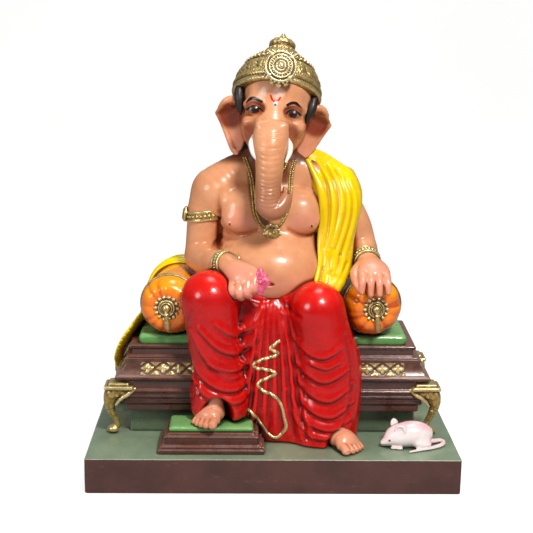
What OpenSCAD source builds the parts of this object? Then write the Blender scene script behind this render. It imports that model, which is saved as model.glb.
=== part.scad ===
// Seated Ganesha idol on a moulded throne, with a footstool and a mouse, on one shared slab.
// Millimetres, +Z up, origin in the middle of the slab's underside, the figure faces -Y.

/* [Slab] */
// Width of the base slab, side to side
slab_w = 300; // [296:1:320]
// Depth of the base slab, front to back
slab_d = 180; // [178:1:200]
// Height of the base slab
slab_h = 29.3; // [26:0.1:29.3]

/* [Throne] */
// Half width of the throne at the lip of its frieze
lip_x = 130; // [126:1:134]
// Distance of the frieze lip in front of the middle of the slab
lip_front = 44; // [42:0.5:48]
// Distance of the frieze lip behind the middle of the slab
lip_back = 57; // [54:0.5:62]
// Pitch of the gold quatrefoils along the frieze
quatrefoil_pitch = 12.9; // [11:0.1:15]
// Thickness of the seat cushion
seat_cushion_h = 9; // [7:0.5:9]

/* [Bolsters] */
// Radius of a bolster
bolster_r = 24.5; // [22:0.5:25]
// Length of a bolster between its domed ends
bolster_len = 88; // [80:1:92]
// Angle by which the front ends of the bolsters splay outward
bolster_splay = 8; // [4:1:12]

/* [Footstool] */
// Width of the footstool at the slab
stool_w = 86; // [80:1:90]
// Height of the footstool with its cushion
stool_h = 21; // [20:0.5:22]

/* [Head] */
// Sideways tilt of the head, in degrees
head_roll = 7; // [4:0.5:10]
// Radius of the crown at its rim
crown_r = 36.4; // [35:0.1:38]
// Angle by which the crown leans back, in degrees
crown_lean = 20; // [15:1:22]

/* [Jewellery] */
// Radius of a necklace cord
necklace_r = 1.5; // [1.2:0.1:2]
// Radius of the long necklace's pendant
pendant_r = 6.8; // [6:0.1:7.5]

/* [Hidden] */

$fn = 36;
plinth_top = 51;
lower_top = 80;
frieze_top = 96.5;
cornice_top = 107;
seat_z = cornice_top + seat_cushion_h;
stool_top = slab_h + stool_h;
stool_centre = [-50, -58];
bolster_left_at = [-81, 0, seat_z + bolster_r];
bolster_right_at = [77, 0, seat_z + bolster_r];
head_at = [-3, 0, 270];
crown_at = [0.8, 3, 306.5];
skin_colour = [0.86, 0.62, 0.46];
gold_colour = [0.74, 0.6, 0.32];
red_colour = [0.8, 0.07, 0.06];
yellow_colour = [0.94, 0.82, 0.02];
brown_colour = [0.29, 0.13, 0.09];
orange_colour = [0.95, 0.48, 0.05];
green_colour = [0.42, 0.63, 0.38];

// ---- sweeping helpers -------------------------------------------------------------------
// A station is [x, y, z, half width, half depth]; half width runs along the side direction.
function unit(v) = v / norm(v);
function place(s) = [s[0], s[1], s[2]];
function blend(a, b, c, d, t) = 0.5 * (2 * b + (c - a) * t + (2 * a - 5 * b + 4 * c - d) * t * t
    + (3 * b - a - 3 * c + d) * t * t * t);
// Extra stations on a smooth curve, steps of them to each given one
function smoothed(st, steps) = let(last = len(st) - 1) concat(
    [for (i = [0:last - 1]) for (j = [0:steps - 1])
        blend(st[max(i - 1, 0)], st[i], st[i + 1], st[min(i + 2, last)], j / steps)],
    [st[last]]);
function heading(st, i) = unit(place(st[min(i + 1, len(st) - 1)]) - place(st[max(i - 1, 0)]));
function ring(c, t, side, a, b, n, wave, waves) = let(u = unit(side - t * (side * t)), v = cross(t, u))
    [for (i = [0:n - 1]) let(q = 360 * i / n, k = 1 + wave * cos(waves * q))
        c + u * (a * k * cos(q)) + v * (b * k * sin(q))];

// Closed skin through a stack of rings that all have the same number of points
module skin(rings) {
    n = len(rings[0]);
    m = len(rings);
    walls = [for (j = [0:m - 2]) for (i = [0:n - 1]) let(k = (i + 1) % n, low = j * n, high = low + n)
        each [[low + i, high + i, high + k], [low + i, high + k, low + k]]];
    polyhedron(points = [for (r = rings) each r],
        faces = concat([[for (i = [0:n - 1]) i]], walls, [[for (i = [0:n - 1]) m * n - 1 - i]]));
}

// Rounded or flat-ended form swept through stations
module limb(st, side = [1, 0, 0], n = 16, steps = 2, domed = [true, true], wave = 0, waves = 0) {
    s = smoothed(st, steps);
    last = len(s) - 1;
    head = heading(s, 0);
    tail = heading(s, last);
    r0 = min(s[0][3], s[0][4]);
    r1 = min(s[last][3], s[last][4]);
    dome = n > 10 ? [75, 50, 25] : [70, 35];
    start_rings = [for (q = domed[0] ? dome : []) ring(place(s[0]) - head * (r0 * sin(q)), head, side,
        s[0][3] * cos(q), s[0][4] * cos(q), n, wave, waves)];
    body_rings = [for (i = [0:last]) ring(place(s[i]), heading(s, i), side, s[i][3], s[i][4],
        n, wave, waves)];
    end_rings = [for (i = [len(dome) - 1:-1:0]) if (domed[1]) let(q = dome[i]) ring(
        place(s[last]) + tail * (r1 * sin(q)), tail, side, s[last][3] * cos(q),
        s[last][4] * cos(q), n, wave, waves)];
    skin(concat(start_rings, body_rings, end_rings));
}

// Level stack: a row is [z, half width, front y, back y, middle x]
module stack(rows, n = 20, steps = 2, wave = 0, waves = 0) {
    rings = [for (r = smoothed(rows, steps)) ring([r[4], (r[2] + r[3]) / 2, r[0]], [0, 0, 1],
        [1, 0, 0], r[1], (r[3] - r[2]) / 2, n, wave, waves)];
    skin(rings);
}

// A sculpted form with its neighbours cut out of it, kept as one faceted skin
module carved() {
    resize([0, 0, 0]) difference() {
        children(0);
        if ($children > 1) children([1:$children - 1]);
    }
}

// Rectangular block with the same moulded profile on all four sides; a point is [overhang, z]
module moulded(half_x, front, back, profile) {
    outline_x = concat([for (p = profile) [half_x + p[0], p[1]]],
        [for (i = [len(profile) - 1:-1:0]) [-half_x - profile[i][0], profile[i][1]]]);
    outline_y = concat([for (p = profile) [back + p[0] * 0.75, p[1]]],
        [for (i = [len(profile) - 1:-1:0]) [-front - profile[i][0] * 0.75, profile[i][1]]]);
    reach = 400;
    intersection() {
        rotate([90, 0, 0]) linear_extrude(reach, center = true) polygon(outline_x);
        rotate([90, 0, 90]) linear_extrude(reach, center = true) polygon(outline_y);
    }
}

module rounded_block(size, r) {
    linear_extrude(size[2], center = true) {
        square([size[0] - 2 * r, size[1]], center = true);
        square([size[0], size[1] - 2 * r], center = true);
        for (x = [-1, 1], y = [-1, 1]) {
            translate([x * (size[0] / 2 - r), y * (size[1] / 2 - r)]) circle(r);
        }
    }
}

module ring_bead(r, bead) rotate_extrude() translate([r, 0]) circle(bead, $fn = 8);

// ---- slab and throne --------------------------------------------------------------------
module base_slab() {
    edge = 0.8;
    color(brown_colour) moulded(slab_w / 2, slab_d / 2, slab_d / 2,
        [[0, 0], [0, slab_h - edge], [-edge, slab_h]]);
}

module plinth_block() {
    color([0.22, 0.3, 0.22]) translate([-120, -27, slab_h]) cube([240, 82, plinth_top - slab_h]);
}

module lower_moulding() {
    color(brown_colour) moulded(lip_x, lip_front, lip_back,
        [[-8, plinth_top], [-8, 58], [-6, 59], [-6, 63], [-4, 64], [-4, 69], [-5.5, 70],
            [-5.5, 78], [-1.5, lower_top]]);
}

module frieze() {
    color(brown_colour) moulded(lip_x, lip_front, lip_back,
        [[0, lower_top], [0, 82], [-3.5, 83.5], [-6.5, 87], [-9, 92], [-9, frieze_top]]);
}

// One four-petalled flower, raised from the sloping frieze
module quatrefoil() {
    petal = 1.7;
    for (q = [0:90:270]) rotate(q) translate([petal * 1.3, 0]) circle(petal, $fn = 16);
    circle(petal * 0.8, $fn = 16);
}

module frieze_quatrefoils() {
    slope = 60;
    relief = 1.1;
    front_count = floor((2 * lip_x - 30) / quatrefoil_pitch / 2);
    side_count = floor((lip_front + lip_back - 30) / quatrefoil_pitch / 2);
    middle_y = (lip_back - lip_front) / 2;
    sunk = 4.6;
    color(gold_colour) {
        for (i = [-front_count:front_count], s = [-1, 1]) {
            wall_y = s < 0 ? -lip_front + sunk : lip_back - sunk;
            translate([i * quatrefoil_pitch, wall_y, 87.5]) rotate([s < 0 ? slope : -slope, 0, 0])
                translate([0, 0, s < 0 ? -relief : -relief]) linear_extrude(2 * relief) quatrefoil();
        }
        for (i = [-side_count:side_count], s = [-1, 1]) {
            translate([s * (lip_x - sunk - 1.6), middle_y + i * quatrefoil_pitch, 87.5])
                rotate([0, s * slope, 0]) translate([0, 0, -relief]) linear_extrude(2 * relief)
                    quatrefoil();
        }
    }
}

module cornice() {
    color(brown_colour) moulded(lip_x, lip_front, lip_back,
        [[-13.5, frieze_top], [-13.5, 104], [-12.5, 105], [-12.5, 106.3], [-13.2, cornice_top]]);
}

// Gilded cabriole foot: a bracket plate, a knee, a thin ankle and a ball on the slab
module throne_foot(sx, y, out) {
    foot = [sx * 133, y - out * 3, slab_h];
    color(gold_colour) carved() {
        union() {
            translate([sx * 126.5 - 10.5, y - 10 + out * 2, 69]) cube([21, 20, 4]);
            limb([[sx * 132, y, 67, 7, 7], [sx * 138, y - out * 4, 62, 6.5, 7],
                [sx * 137, y - out * 4, 52, 4.6, 5], [sx * 131, y - out * 1, 41, 2.8, 3],
                [sx * 131.5, y - out * 2, 34, 2.6, 3]], n = 8, steps = 2);
            limb([[sx * 131, y, 64, 3, 3], [sx * 125, y, 64, 3, 4], [sx * 119, y, 67, 2, 3]],
                side = [0, 0, 1], n = 6, steps = 1);
            translate([foot[0], foot[1], slab_h + 3.4]) sphere(3.4, $fn = 12);
        }
        lower_moulding();
        frieze();
    }
}

module throne_foot_front_left() throne_foot(-1, -36, 1);
module throne_foot_front_right() throne_foot(1, -36, 1);
module throne_foot_back_left() throne_foot(-1, lip_back - 6, -1);
module throne_foot_back_right() throne_foot(1, lip_back - 6, -1);

module seat_cushion() {
    front = lip_front - 11;
    back = lip_back - 11;
    color(green_colour) translate([0, (back - front) / 2, cornice_top + seat_cushion_h / 2])
        rounded_block([2 * lip_x - 38, front + back, seat_cushion_h], 4);
}

// ---- bolsters ---------------------------------------------------------------------------
// Along its own axis, front end at -Z, so the axis can be laid along Y
module bolster_form(grow = 0) {
    r = bolster_r + grow;
    half = bolster_len / 2;
    dome = 9;
    rotate_extrude() polygon(concat([[0, -half]],
        [for (q = [70:-14:0]) [(r - dome) + dome * cos(q), -half + dome - dome * sin(q)]],
        [for (q = [0:14:70]) [(r - dome) + dome * cos(q), half - dome + dome * sin(q)]],
        [[0, half]]));
}

module lay_bolster(at, splay) translate(at) rotate([-90, 0, splay]) children();

module bolster_left() color(orange_colour) lay_bolster(bolster_left_at, -bolster_splay) bolster_form();
module bolster_right() color(orange_colour) lay_bolster(bolster_right_at, bolster_splay) bolster_form();

// Gold braid round each bolster, behind its front gathers
module bolster_bands() {
    back_from_front = 17;
    color(gold_colour) for (s = [-1, 1]) {
        lay_bolster(s < 0 ? bolster_left_at : bolster_right_at, s * bolster_splay)
            translate([0, 0, -bolster_len / 2 + back_from_front]) rotate_extrude()
                translate([bolster_r, -1.6]) square([1.2, 5.2]);
    }
}

// Scalloped disc with a ring and a knob, proud of the bolster's front end
module rosette() {
    disc_r = 9.2;
    points = 14;
    linear_extrude(2.2) {
        circle(disc_r);
        for (i = [0:points - 1]) rotate(360 * i / points) translate([disc_r, 0]) circle(1.6, $fn = 16);
    }
    translate([0, 0, 2.2]) cylinder(h = 1.2, r1 = 6.8, r2 = 6);
    translate([0, 0, 3.4]) sphere(3.2);
}

module on_bolster_front(s) lay_bolster(s < 0 ? bolster_left_at : bolster_right_at, s * bolster_splay)
    translate([0, 0, -bolster_len / 2]) rotate([180, 0, 0]) children();

module rosette_left() color(gold_colour) on_bolster_front(-1) rosette();
module rosette_right() color(gold_colour) on_bolster_front(1) rosette();

// Tassel that hangs from the knob against the bolster's end
module tassel(s) {
    length = 16;
    color(gold_colour) on_bolster_front(s) translate([0, -3, 4.6]) rotate([86, 0, 0])
        cylinder(h = length, r1 = 1.2, r2 = 2.6);
}

module tassel_left() tassel(-1);
module tassel_right() tassel(1);

// ---- footstool --------------------------------------------------------------------------
module footstool_base() {
    half_x = stool_w / 2;
    color(brown_colour) translate([stool_centre[0], stool_centre[1], 0])
        moulded(half_x, 22, 22, [[0, slab_h], [0, slab_h + 3.5], [-1.2, slab_h + 4.5],
            [-4, slab_h + 9], [-5.5, slab_h + 12], [-6.5, slab_h + 12.5], [-6.5, slab_h + 15],
            [-8.5, slab_h + 16]]);
}

module footstool_cushion() {
    color(green_colour) translate([stool_centre[0], stool_centre[1], 0])
        moulded(stool_w / 2, 22, 22, [[-9.5, slab_h + 16], [-9, slab_h + 17],
            [-9, stool_top - 1.5], [-10, stool_top]]);
}

// ---- figure -----------------------------------------------------------------------------
module torso_form() {
    stack([[seat_z, 44, -16, 38, -2], [135, 47, -30, 40, -2], [150, 47, -39, 37, -2],
        [164, 46.5, -43, 33, -2], [178, 45, -41, 31, -2], [192, 43.5, -35, 31, -2],
        [205, 44, -28, 32, -2], [216, 46, -24, 33, -1], [228, 50, -19, 33, 0],
        [238, 50, -12, 31, 0], [247, 38, -8, 28, 0], [255, 24, -8, 25, -1], [262, 18, -8, 24, -2]]);
}

module torso() color(skin_colour) carved() {
    torso_form();
    bolster_cut();
}

module bolster_cut() {
    lay_bolster(bolster_left_at, -bolster_splay) bolster_form();
    lay_bolster(bolster_right_at, bolster_splay) bolster_form();
}

module dhoti_waist() color(red_colour) carved() {
    stack([[seat_z, 50, -30, 43, -2], [128, 53, -36, 44, -2], [142, 52, -40, 42, -2],
        [150, 49.5, -41, 39, -2]]);
    torso_form();
    bolster_cut();
    legs_form();
}

// Viewer's left is the figure's right
module leg_right_form() {
    limb([[-30, 8, 138, 21, 20], [-40, -22, 144, 23, 22], [-51, -50, 150, 23, 22],
        [-52, -56, 150, 22, 21]], n = 20);
    limb([[-52, -56, 150, 21, 20], [-49, -59, 128, 22, 19], [-46, -59, 104, 22.5, 18],
        [-44, -58, 80, 23.5, 17], [-45, -58, 66, 24, 17]], n = 24, wave = 0.03, waves = 6,
        domed = [true, false]);
}

module leg_left_form() {
    limb([[26, 8, 136, 21, 20], [31, -22, 140, 22, 21], [34, -45, 141, 21.5, 21],
        [35, -50, 141, 20.5, 20]], n = 20);
    limb([[35.5, -49.5, 140, 19, 18.5], [42, -52, 118, 24, 18], [46, -52, 90, 26, 18],
        [46, -51, 60, 26, 18], [45, -50, slab_h - 1, 25, 17]], n = 24, wave = 0.03, waves = 6,
        domed = [true, false]);
}

module legs_form() {
    leg_right_form();
    leg_left_form();
}

module leg_neighbours() {
    torso_form();
    bolster_cut();
    seat_cushion();
    cornice();
    frieze();
    lower_moulding();
}

module dhoti_leg_right() color(red_colour) carved() {
    leg_right_form();
    leg_neighbours();
}

module dhoti_leg_left() color(red_colour) carved() {
    leg_left_form();
    leg_neighbours();
    below_slab();
}

module below_slab() translate([-200, -200, slab_h - 50]) cube([400, 400, 50]);

// Cloth that falls between the knees in a fan of pleats
module dhoti_pleats() color(red_colour) carved() {
    limb([[0, -24, 148, 15, 12], [-1, -40, 138, 15, 8], [0, -46, 112, 16, 8],
        [2, -47, 84, 18, 9], [6, -47, 54, 20, 10], [10, -46, slab_h - 1.5, 22, 10]], n = 32,
        steps = 2, wave = 0.06, waves = 8, domed = [true, false]);
    legs_form();
    leg_neighbours();
    footstool_base();
    footstool_cushion();
    below_slab();
}

// Zigzag of the gold-edged hem, down the front of the pleats and round the hem
hem_front = -55.6;
module dhoti_gold_hem() color(gold_colour) carved() {
    limb([for (p = [[5, 114], [-2.5, 109], [3.5, 105], [-4, 101.5], [-15, 97.5], [-14, 94],
        [0.5, 89.5], [-5, 84], [-12, 80], [-4, 72], [3, 67.5], [8.5, 55], [10.5, 43],
        [3, 34], [-5, 37], [-9, 46]]) [p[0], hem_front, p[1], 1.8, 1.2]],
        side = [0, 1, 0], n = 8, steps = 2);
    legs_form();
    footstool_cushion();
}

// ---- arms, hands and feet ---------------------------------------------------------------
module arm_right_form() {
    limb([[-50, 8, 229, 15, 17], [-57, 6, 218, 14, 16], [-59, 4, 200, 13, 14.5],
        [-61, 3, 184, 13, 13.5], [-61, -2, 173, 12.5, 12.5], [-55, -18, 171, 11.5, 11.5],
        [-46, -33, 175, 9.5, 10], [-38, -44, 178, 7.5, 8.5]], n = 18, domed = [true, false]);
}

module arm_left_form() {
    limb([[50, 10, 227, 15, 17], [60, 10, 216, 14.5, 16], [68, 11, 202, 14, 14.5],
        [73, 9, 188, 13, 13.5], [75, 2, 178, 12, 12], [76, -8, 175, 10.5, 10.5],
        [77, -18, 174.5, 8.5, 9]], n = 18, domed = [true, false]);
}

module arm_right() color(skin_colour) carved() {
    arm_right_form();
    torso_form();
    bolster_cut();
    legs_form();
}

module arm_left() color(skin_colour) carved() {
    arm_left_form();
    torso_form();
    bolster_cut();
}

// Loose fist: four curled fingers beside each other and a thumb
module hand_right() color(skin_colour) carved() {
    union() {
        limb([[-38, -44, 178, 7.4, 8.4], [-33, -52, 174, 10, 7.5], [-27, -60, 169, 11, 7]],
            side = [1, -0.5, 0.2], n = 14, steps = 2);
        for (i = [0:3]) {
            limb([[-35 + i * 4.6, -60 - i * 1.2, 171 - i * 0.6, 3.1, 3.1],
                [-32 + i * 4.4, -68 - i * 1.2, 166 - i, 3, 3],
                [-30 + i * 4, -70 - i, 160 - i, 2.6, 2.6]], n = 6, steps = 1);
        }
        limb([[-30, -52, 177, 3.6, 3.6], [-20, -58, 175, 3.2, 3.2], [-14, -62, 170, 2.6, 2.6]],
            n = 8, steps = 1);
    }
    legs_form();
    arm_right_form();
}

// Open hand draped over the bolster's front end
module hand_left() color(skin_colour) carved() {
    union() {
        limb([[77, -18, 174.5, 8.4, 8.8], [79, -28, 173, 10.5, 6.5], [81, -38, 169.5, 11, 5.5]],
            n = 14, steps = 2);
        for (i = [0:3]) {
            limb([[73 + i * 5, -38, 169.5 - i * 0.4, 3, 3], [73.5 + i * 5, -46, 165 - i * 0.5, 2.9, 2.9],
                [74 + i * 5, -51, 158 - i * 0.4, 2.6, 2.6], [74.5 + i * 5, -52, 151, 2.3, 2.3]],
                n = 6, steps = 1);
        }
        limb([[71, -28, 172, 3.4, 3.4], [67, -40, 168, 3, 3], [68.5, -49, 160, 2.6, 2.6]],
            n = 8, steps = 1);
    }
    bolster_cut();
    arm_left_form();
}

// Bare foot: ankle at the heel end, toes forward
module foot(ankle, heel, toe, ground) {
    way = unit([toe[0] - heel[0], toe[1] - heel[1], 0]);
    side = cross(way, [0, 0, 1]);
    big = toe - side * 6.5;
    limb([[ankle[0], ankle[1], ankle[2], 8, 8], [heel[0], heel[1] + 0.7, ground + 8, 8.2, 8.7]],
        n = 14, steps = 2);
    limb([[heel[0], heel[1], ground + 6, 8.5, 7], [(heel[0] + toe[0]) / 2, (heel[1] + toe[1]) / 2,
        ground + 5.6, 10.5, 6.5], [toe[0], toe[1], ground + 3.2, 12, 4]], side = side, n = 14,
        steps = 2);
    for (i = [0:4]) {
        r = 3.3 - 0.3 * i;
        at = big + side * (3.4 * i) + way * (4 - 0.8 * i);
        limb([[at[0] - way[0] * 4, at[1] - way[1] * 4, ground + r * 0.8, r, r],
            [at[0] + way[0] * 3, at[1] + way[1] * 3, ground + r * 0.7, r, r]], side = side, n = 6,
            steps = 1);
    }
}

module foot_right() color(skin_colour) carved() {
    foot([-48, -58, 72], [-49, -57, 0], [-55, -70, 0], stool_top);
    leg_right_form();
    footstool_cushion();
}

module foot_left() color(skin_colour) carved() {
    foot([52, -54, 50], [53, -56, 0], [63, -72, 0], slab_h);
    leg_left_form();
    below_slab();
}

// ---- head -------------------------------------------------------------------------------
// Frame of the head: its own z runs up the crown's axis
module in_head() translate(head_at) rotate([0, head_roll, 0]) children();

module head_form() in_head() stack([[-16, 11, -14, 18, 0], [-8, 20, -27, 27, 0], [2, 26, -34, 32, 0],
    [14, 29, -36, 36, 0], [26, 31, -34, 38, 0], [38, 31, -31, 37, 0], [50, 28, -28, 33, 0],
    [60, 20, -20, 27, 0]]);

module head() color(skin_colour) carved() {
    head_form();
    torso_form();
}

module trunk_form() limb([[-3, -28, 300, 10, 9], [-4, -36, 286, 13, 11], [-5, -42, 272, 12.5, 11],
    [-5, -43, 258, 10, 9.5], [-6, -44, 244, 8, 8], [-7, -45, 231, 7.2, 7.2],
    [-3.5, -46, 222, 7.2, 7.2], [4, -44, 224, 6.4, 6.4], [9, -42, 232, 5, 5]], n = 16,
    steps = 2);

module trunk() color(skin_colour) carved() {
    trunk_form();
    head_form();
    torso_form();
}

// Thin ear with a folded upper edge, from its root out to the tip and down to the lobe
module ear_form(root_top, top, tip, lobe, root_low) hull() {
    for (p = [root_top, top, tip, lobe, root_low]) translate(p) sphere(2.6, $fn = 12);
}

module ear_left() color(skin_colour) carved() {
    ear_form([24, 2, 296], [36, 7, 296], [44, 9, 283], [25, 2, 256], [20, 0, 262]);
    head_form();
}

module ear_right() color(skin_colour) carved() {
    ear_form([-30, 2, 303], [-37, 7, 303], [-47, 9, 294], [-32, 3, 264], [-27, 0, 270]);
    head_form();
}

// Short tusks beside the root of the trunk, curving in at the tips
module tusk(s) limb([[-4 + s * 11, -34, 275, 3.4, 3.4], [-4 + s * 13, -41, 270, 3, 3],
    [-4 + s * 12, -47, 264, 2.2, 2.2], [-4 + s * 10.5, -50, 260, 1.2, 1.2]], n = 10);

module tusk_left() color([0.95, 0.93, 0.88]) carved() {
    tusk(1);
    head_form();
    trunk_form();
}

module tusk_right() color([0.95, 0.93, 0.88]) carved() {
    tusk(-1);
    head_form();
    trunk_form();
}

// Hair that shows below the crown at the temples and round the back of the head
module hair() color([0.06, 0.05, 0.05]) carved() {
    in_head() stack([[2, 24, -4, 33.5, 0], [8, 28.5, -8, 37, 0], [16, 30.8, -14, 39, 0],
        [26, 32.4, -22, 40, 0], [36, 33, -24, 39.5, 0]]);
    head_form();
    crown_rim_form();
    in_head() translate([-40, -60, 0]) cube([80, 44, 60]);
    ear_cuts();
}

module ear_cuts() {
    ear_form([24, 2, 296], [36, 7, 296], [44, 9, 283], [25, 2, 256], [20, 0, 262]);
    ear_form([-30, 2, 303], [-37, 7, 303], [-47, 9, 294], [-32, 3, 264], [-27, 0, 270]);
}

// Frame of the crown: its z is the crown's axis, which leans back from the brow
module in_crown() translate(crown_at) rotate([-crown_lean, head_roll, 0]) children();

// Wide relief band of the crown, with a doubled roll along its lower edge
module crown_rim_form() in_crown() rotate_extrude() polygon([[0, 0], [crown_r - 1.5, 0],
    [crown_r, 1.5], [crown_r, 3.5], [crown_r - 0.8, 5], [crown_r, 6.5], [crown_r - 0.4, 8.5],
    [crown_r - 1.5, 10], [crown_r - 4.5, 20], [crown_r - 8.5, 30], [0, 30]]);

module crown_rim() color(gold_colour) carved() {
    crown_rim_form();
    head_form();
    medallion_form();
}

module crown_dome() color(gold_colour) carved() {
    in_crown() rotate_extrude() polygon([[0, 30], [crown_r - 8.5, 30], [crown_r - 9, 33],
        [crown_r - 12.5, 36], [crown_r - 14.5, 40], [crown_r - 21, 43], [crown_r - 25.5, 45],
        [crown_r - 25.5, 48], [crown_r - 28, 51.5], [4, 53], [3.4, 54.5], [2, 56.4], [0, 56.8]]);
    medallion_form();
}

// Round scalloped medallion on the front of the crown
module medallion_form() {
    r = 11.6;
    petals = 24;
    backing = 16;
    translate([3, -35.5, 334]) rotate([76, head_roll, 0]) {
        cylinder(h = 3, r = r);
        translate([0, 0, -backing]) cylinder(h = backing, r = r - 2.5);
        for (i = [0:petals - 1]) rotate(360 * i / petals) translate([r, 0, 0])
            cylinder(h = 2.4, r = 1.2, $fn = 16);
        translate([0, 0, 3]) ring_bead(8.2, 0.9);
        translate([0, 0, 3]) sphere(3.4);
    }
}

module crown_medallion() color(gold_colour) medallion_form();

module forehead_jewel() color([0.9, 0.95, 0.95]) carved() {
    translate([-1, -31.5, 304.5]) sphere(2.2, $fn = 12);
    head_form();
}

// ---- jewellery --------------------------------------------------------------------------
module cord(points) limb([for (p = points) [p[0], p[1], p[2], necklace_r, necklace_r]], n = 6,
    steps = 2, side = [0.3, 1, 0.2]);

module long_necklace() color(gold_colour) carved() {
    union() {
        cord([[-24, 2, 258], [-22, -11, 248], [-19, -19, 238], [-17.5, -25, 226],
            [-15, -30, 212], [-8, -36, 202]]);
        cord([[17, 0, 256], [15, -11, 248], [13.5, -19, 238], [12.5, -25, 226], [9, -31, 214],
            [3, -36, 203]]);
    }
    torso_form();
    head_form();
}

module short_necklace() color(gold_colour) carved() {
    cord([[16, -4, 257], [12, -14, 250], [6, -18, 244], [-2, -20, 241], [-10, -19, 243],
        [-17, -13, 249], [-21, -4, 257]]);
    torso_form();
    head_form();
    trunk_form();
}

module pendant() color(gold_colour) carved() {
    translate([-2, -35, 199]) rotate([78, 0, 0]) {
        translate([0, 0, -2]) cylinder(h = 4.5, r = pendant_r, $fn = 32);
        translate([0, -pendant_r, -1]) cylinder(h = 3, r = 2.6, $fn = 16);
        translate([0, 0, 2]) sphere(2.6, $fn = 16);
    }
    torso_form();
    trunk_form();
}

// Flat band wrapped round a limb at one place
module cuff(st, side = [1, 0, 0]) limb(st, side = side, n = 16, steps = 1, domed = [false, false]);

module armlet() color(gold_colour) carved() {
    cuff([[-57.6, 5.6, 215, 15.4, 17], [-58.3, 4.9, 210, 15, 16.6], [-58.8, 4.4, 206, 14.7, 16.2]]);
    arm_right_form();
    torso_form();
}

module bracelet_right() color(gold_colour) carved() {
    cuff([[-50, -27, 173.5, 12, 12], [-46.5, -32, 174.6, 11.6, 12], [-43, -37, 176, 10.8, 11.4]]);
    arm_right_form();
    torso_form();
    legs_form();
}

module bracelet_left_form() cuff([[76, -6, 175.2, 12.6, 12.6], [76.3, -10.5, 175, 12.2, 12.2],
    [76.6, -15, 174.8, 11.4, 11.6]]);

module bracelet_left() color(gold_colour) carved() {
    bracelet_left_form();
    arm_left_form();
    bolster_cut();
}

// Small open flower held in the fist
module flower() color([0.86, 0.3, 0.42]) carved() {
    union() {
        translate([-12.5, -65, 171]) sphere(4.6, $fn = 12);
        for (q = [0:60:300]) translate([-12.5 + 4.4 * cos(q), -65, 170 + 5 * sin(q)])
            sphere(3.2, $fn = 8);
    }
    legs_form();
    hand_right();
}

// ---- shawl ------------------------------------------------------------------------------
module shawl_front() color(yellow_colour) carved() {
    limb([[40, 24, 243, 15, 8], [43, 8, 248, 17, 9], [48, -5, 236, 18, 8], [50, -10, 218, 18, 8],
        [50, -12, 200, 17, 8], [51, -16, 184, 15, 8], [48, -24, 170, 13, 8],
        [41, -31, 158, 9, 7]], n = 16, wave = 0.05, waves = 4);
    torso_form();
    arm_left_form();
    bolster_cut();
    legs_form();
    bracelet_left_form();
}

module shawl_back() color(yellow_colour) carved() {
    limb([[41, 25, 242, 11, 5], [28, 34, 226, 17, 7], [4, 37, 205, 18, 7], [-24, 36, 186, 17, 7],
        [-52, 32, 173, 14, 6], [-66, 28, 170, 12, 4.5]], side = [0.6, 0, 0.8], n = 18,
        domed = [true, false]);
    torso_form();
    arm_right_form();
    bolster_cut();
    head_form();
    shawl_front();
}

module shawl_tail() color(yellow_colour) carved() {
    limb([[-66, 28, 170, 12, 4], [-80, 22, 169, 14, 3.5], [-98, 20, 160, 14, 3.5],
        [-108, 19, 142, 13, 3.5], [-112, 18, 120, 12, 3.5], [-118, 18, 108, 11, 3.5],
        [-127, 18, 92, 9, 3.5], [-134, 17.5, 76, 4, 2.5]], side = [0, 1, 0], n = 14);
    bolster_cut();
    seat_cushion();
    cornice();
    frieze();
    arm_right_form();
    torso_form();
}

// ---- mouse ------------------------------------------------------------------------------
module mouse_body() color([0.92, 0.84, 0.84]) carved() {
    union() {
        limb([[90, -57.5, 34, 2, 2], [95, -57.5, 36.5, 4.5, 4], [102, -57.5, 39, 7, 7],
            [111, -57.5, 39.6, 9.5, 9.8], [121, -57.5, 38.6, 9.5, 9.2],
            [128, -57.5, 36.6, 6.5, 6.5]], side = [0, 1, 0], n = 12);
        for (x = [99, 121], y = [-62.5, -52.5]) translate([x, y, slab_h + 2.5]) sphere(3, $fn = 8);
    }
    below_slab();
}

module mouse_ears() color([0.85, 0.78, 0.78]) carved() {
    union() for (s = [-1, 1]) translate([99, -57.5 + s * 5, 45]) rotate([s * 25, 90, 0])
        cylinder(h = 1.6, r = 3.6, $fn = 24);
    mouse_body();
}

module mouse_tail() color([0.9, 0.8, 0.8]) carved() {
    limb([[128, -57.5, 33, 2.2, 2.2], [137, -55, slab_h + 2, 2, 2], [142, -50, slab_h + 1.8, 1.8, 1.8],
        [142, -60, slab_h + 1.8, 1.8, 1.8], [128, -70, slab_h + 1.6, 1.6, 1.6],
        [104, -77, slab_h + 1.4, 1.4, 1.4]], side = [0, 0, 1], n = 8, steps = 4);
    mouse_body();
    below_slab();
}

base_slab();
plinth_block();
lower_moulding();
frieze();
frieze_quatrefoils();
cornice();
throne_foot_front_left();
throne_foot_front_right();
throne_foot_back_left();
throne_foot_back_right();
seat_cushion();
bolster_left();
bolster_right();
bolster_bands();
rosette_left();
rosette_right();
tassel_left();
tassel_right();
footstool_base();
footstool_cushion();
torso();
dhoti_waist();
dhoti_leg_left();
dhoti_leg_right();
dhoti_pleats();
dhoti_gold_hem();
arm_left();
arm_right();
hand_left();
hand_right();
foot_left();
foot_right();
head();
trunk();
ear_left();
ear_right();
tusk_left();
tusk_right();
hair();
crown_rim();
crown_dome();
crown_medallion();
forehead_jewel();
long_necklace();
short_necklace();
pendant();
armlet();
bracelet_left();
bracelet_right();
flower();
shawl_front();
shawl_back();
shawl_tail();
mouse_body();
mouse_ears();
mouse_tail();
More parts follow.
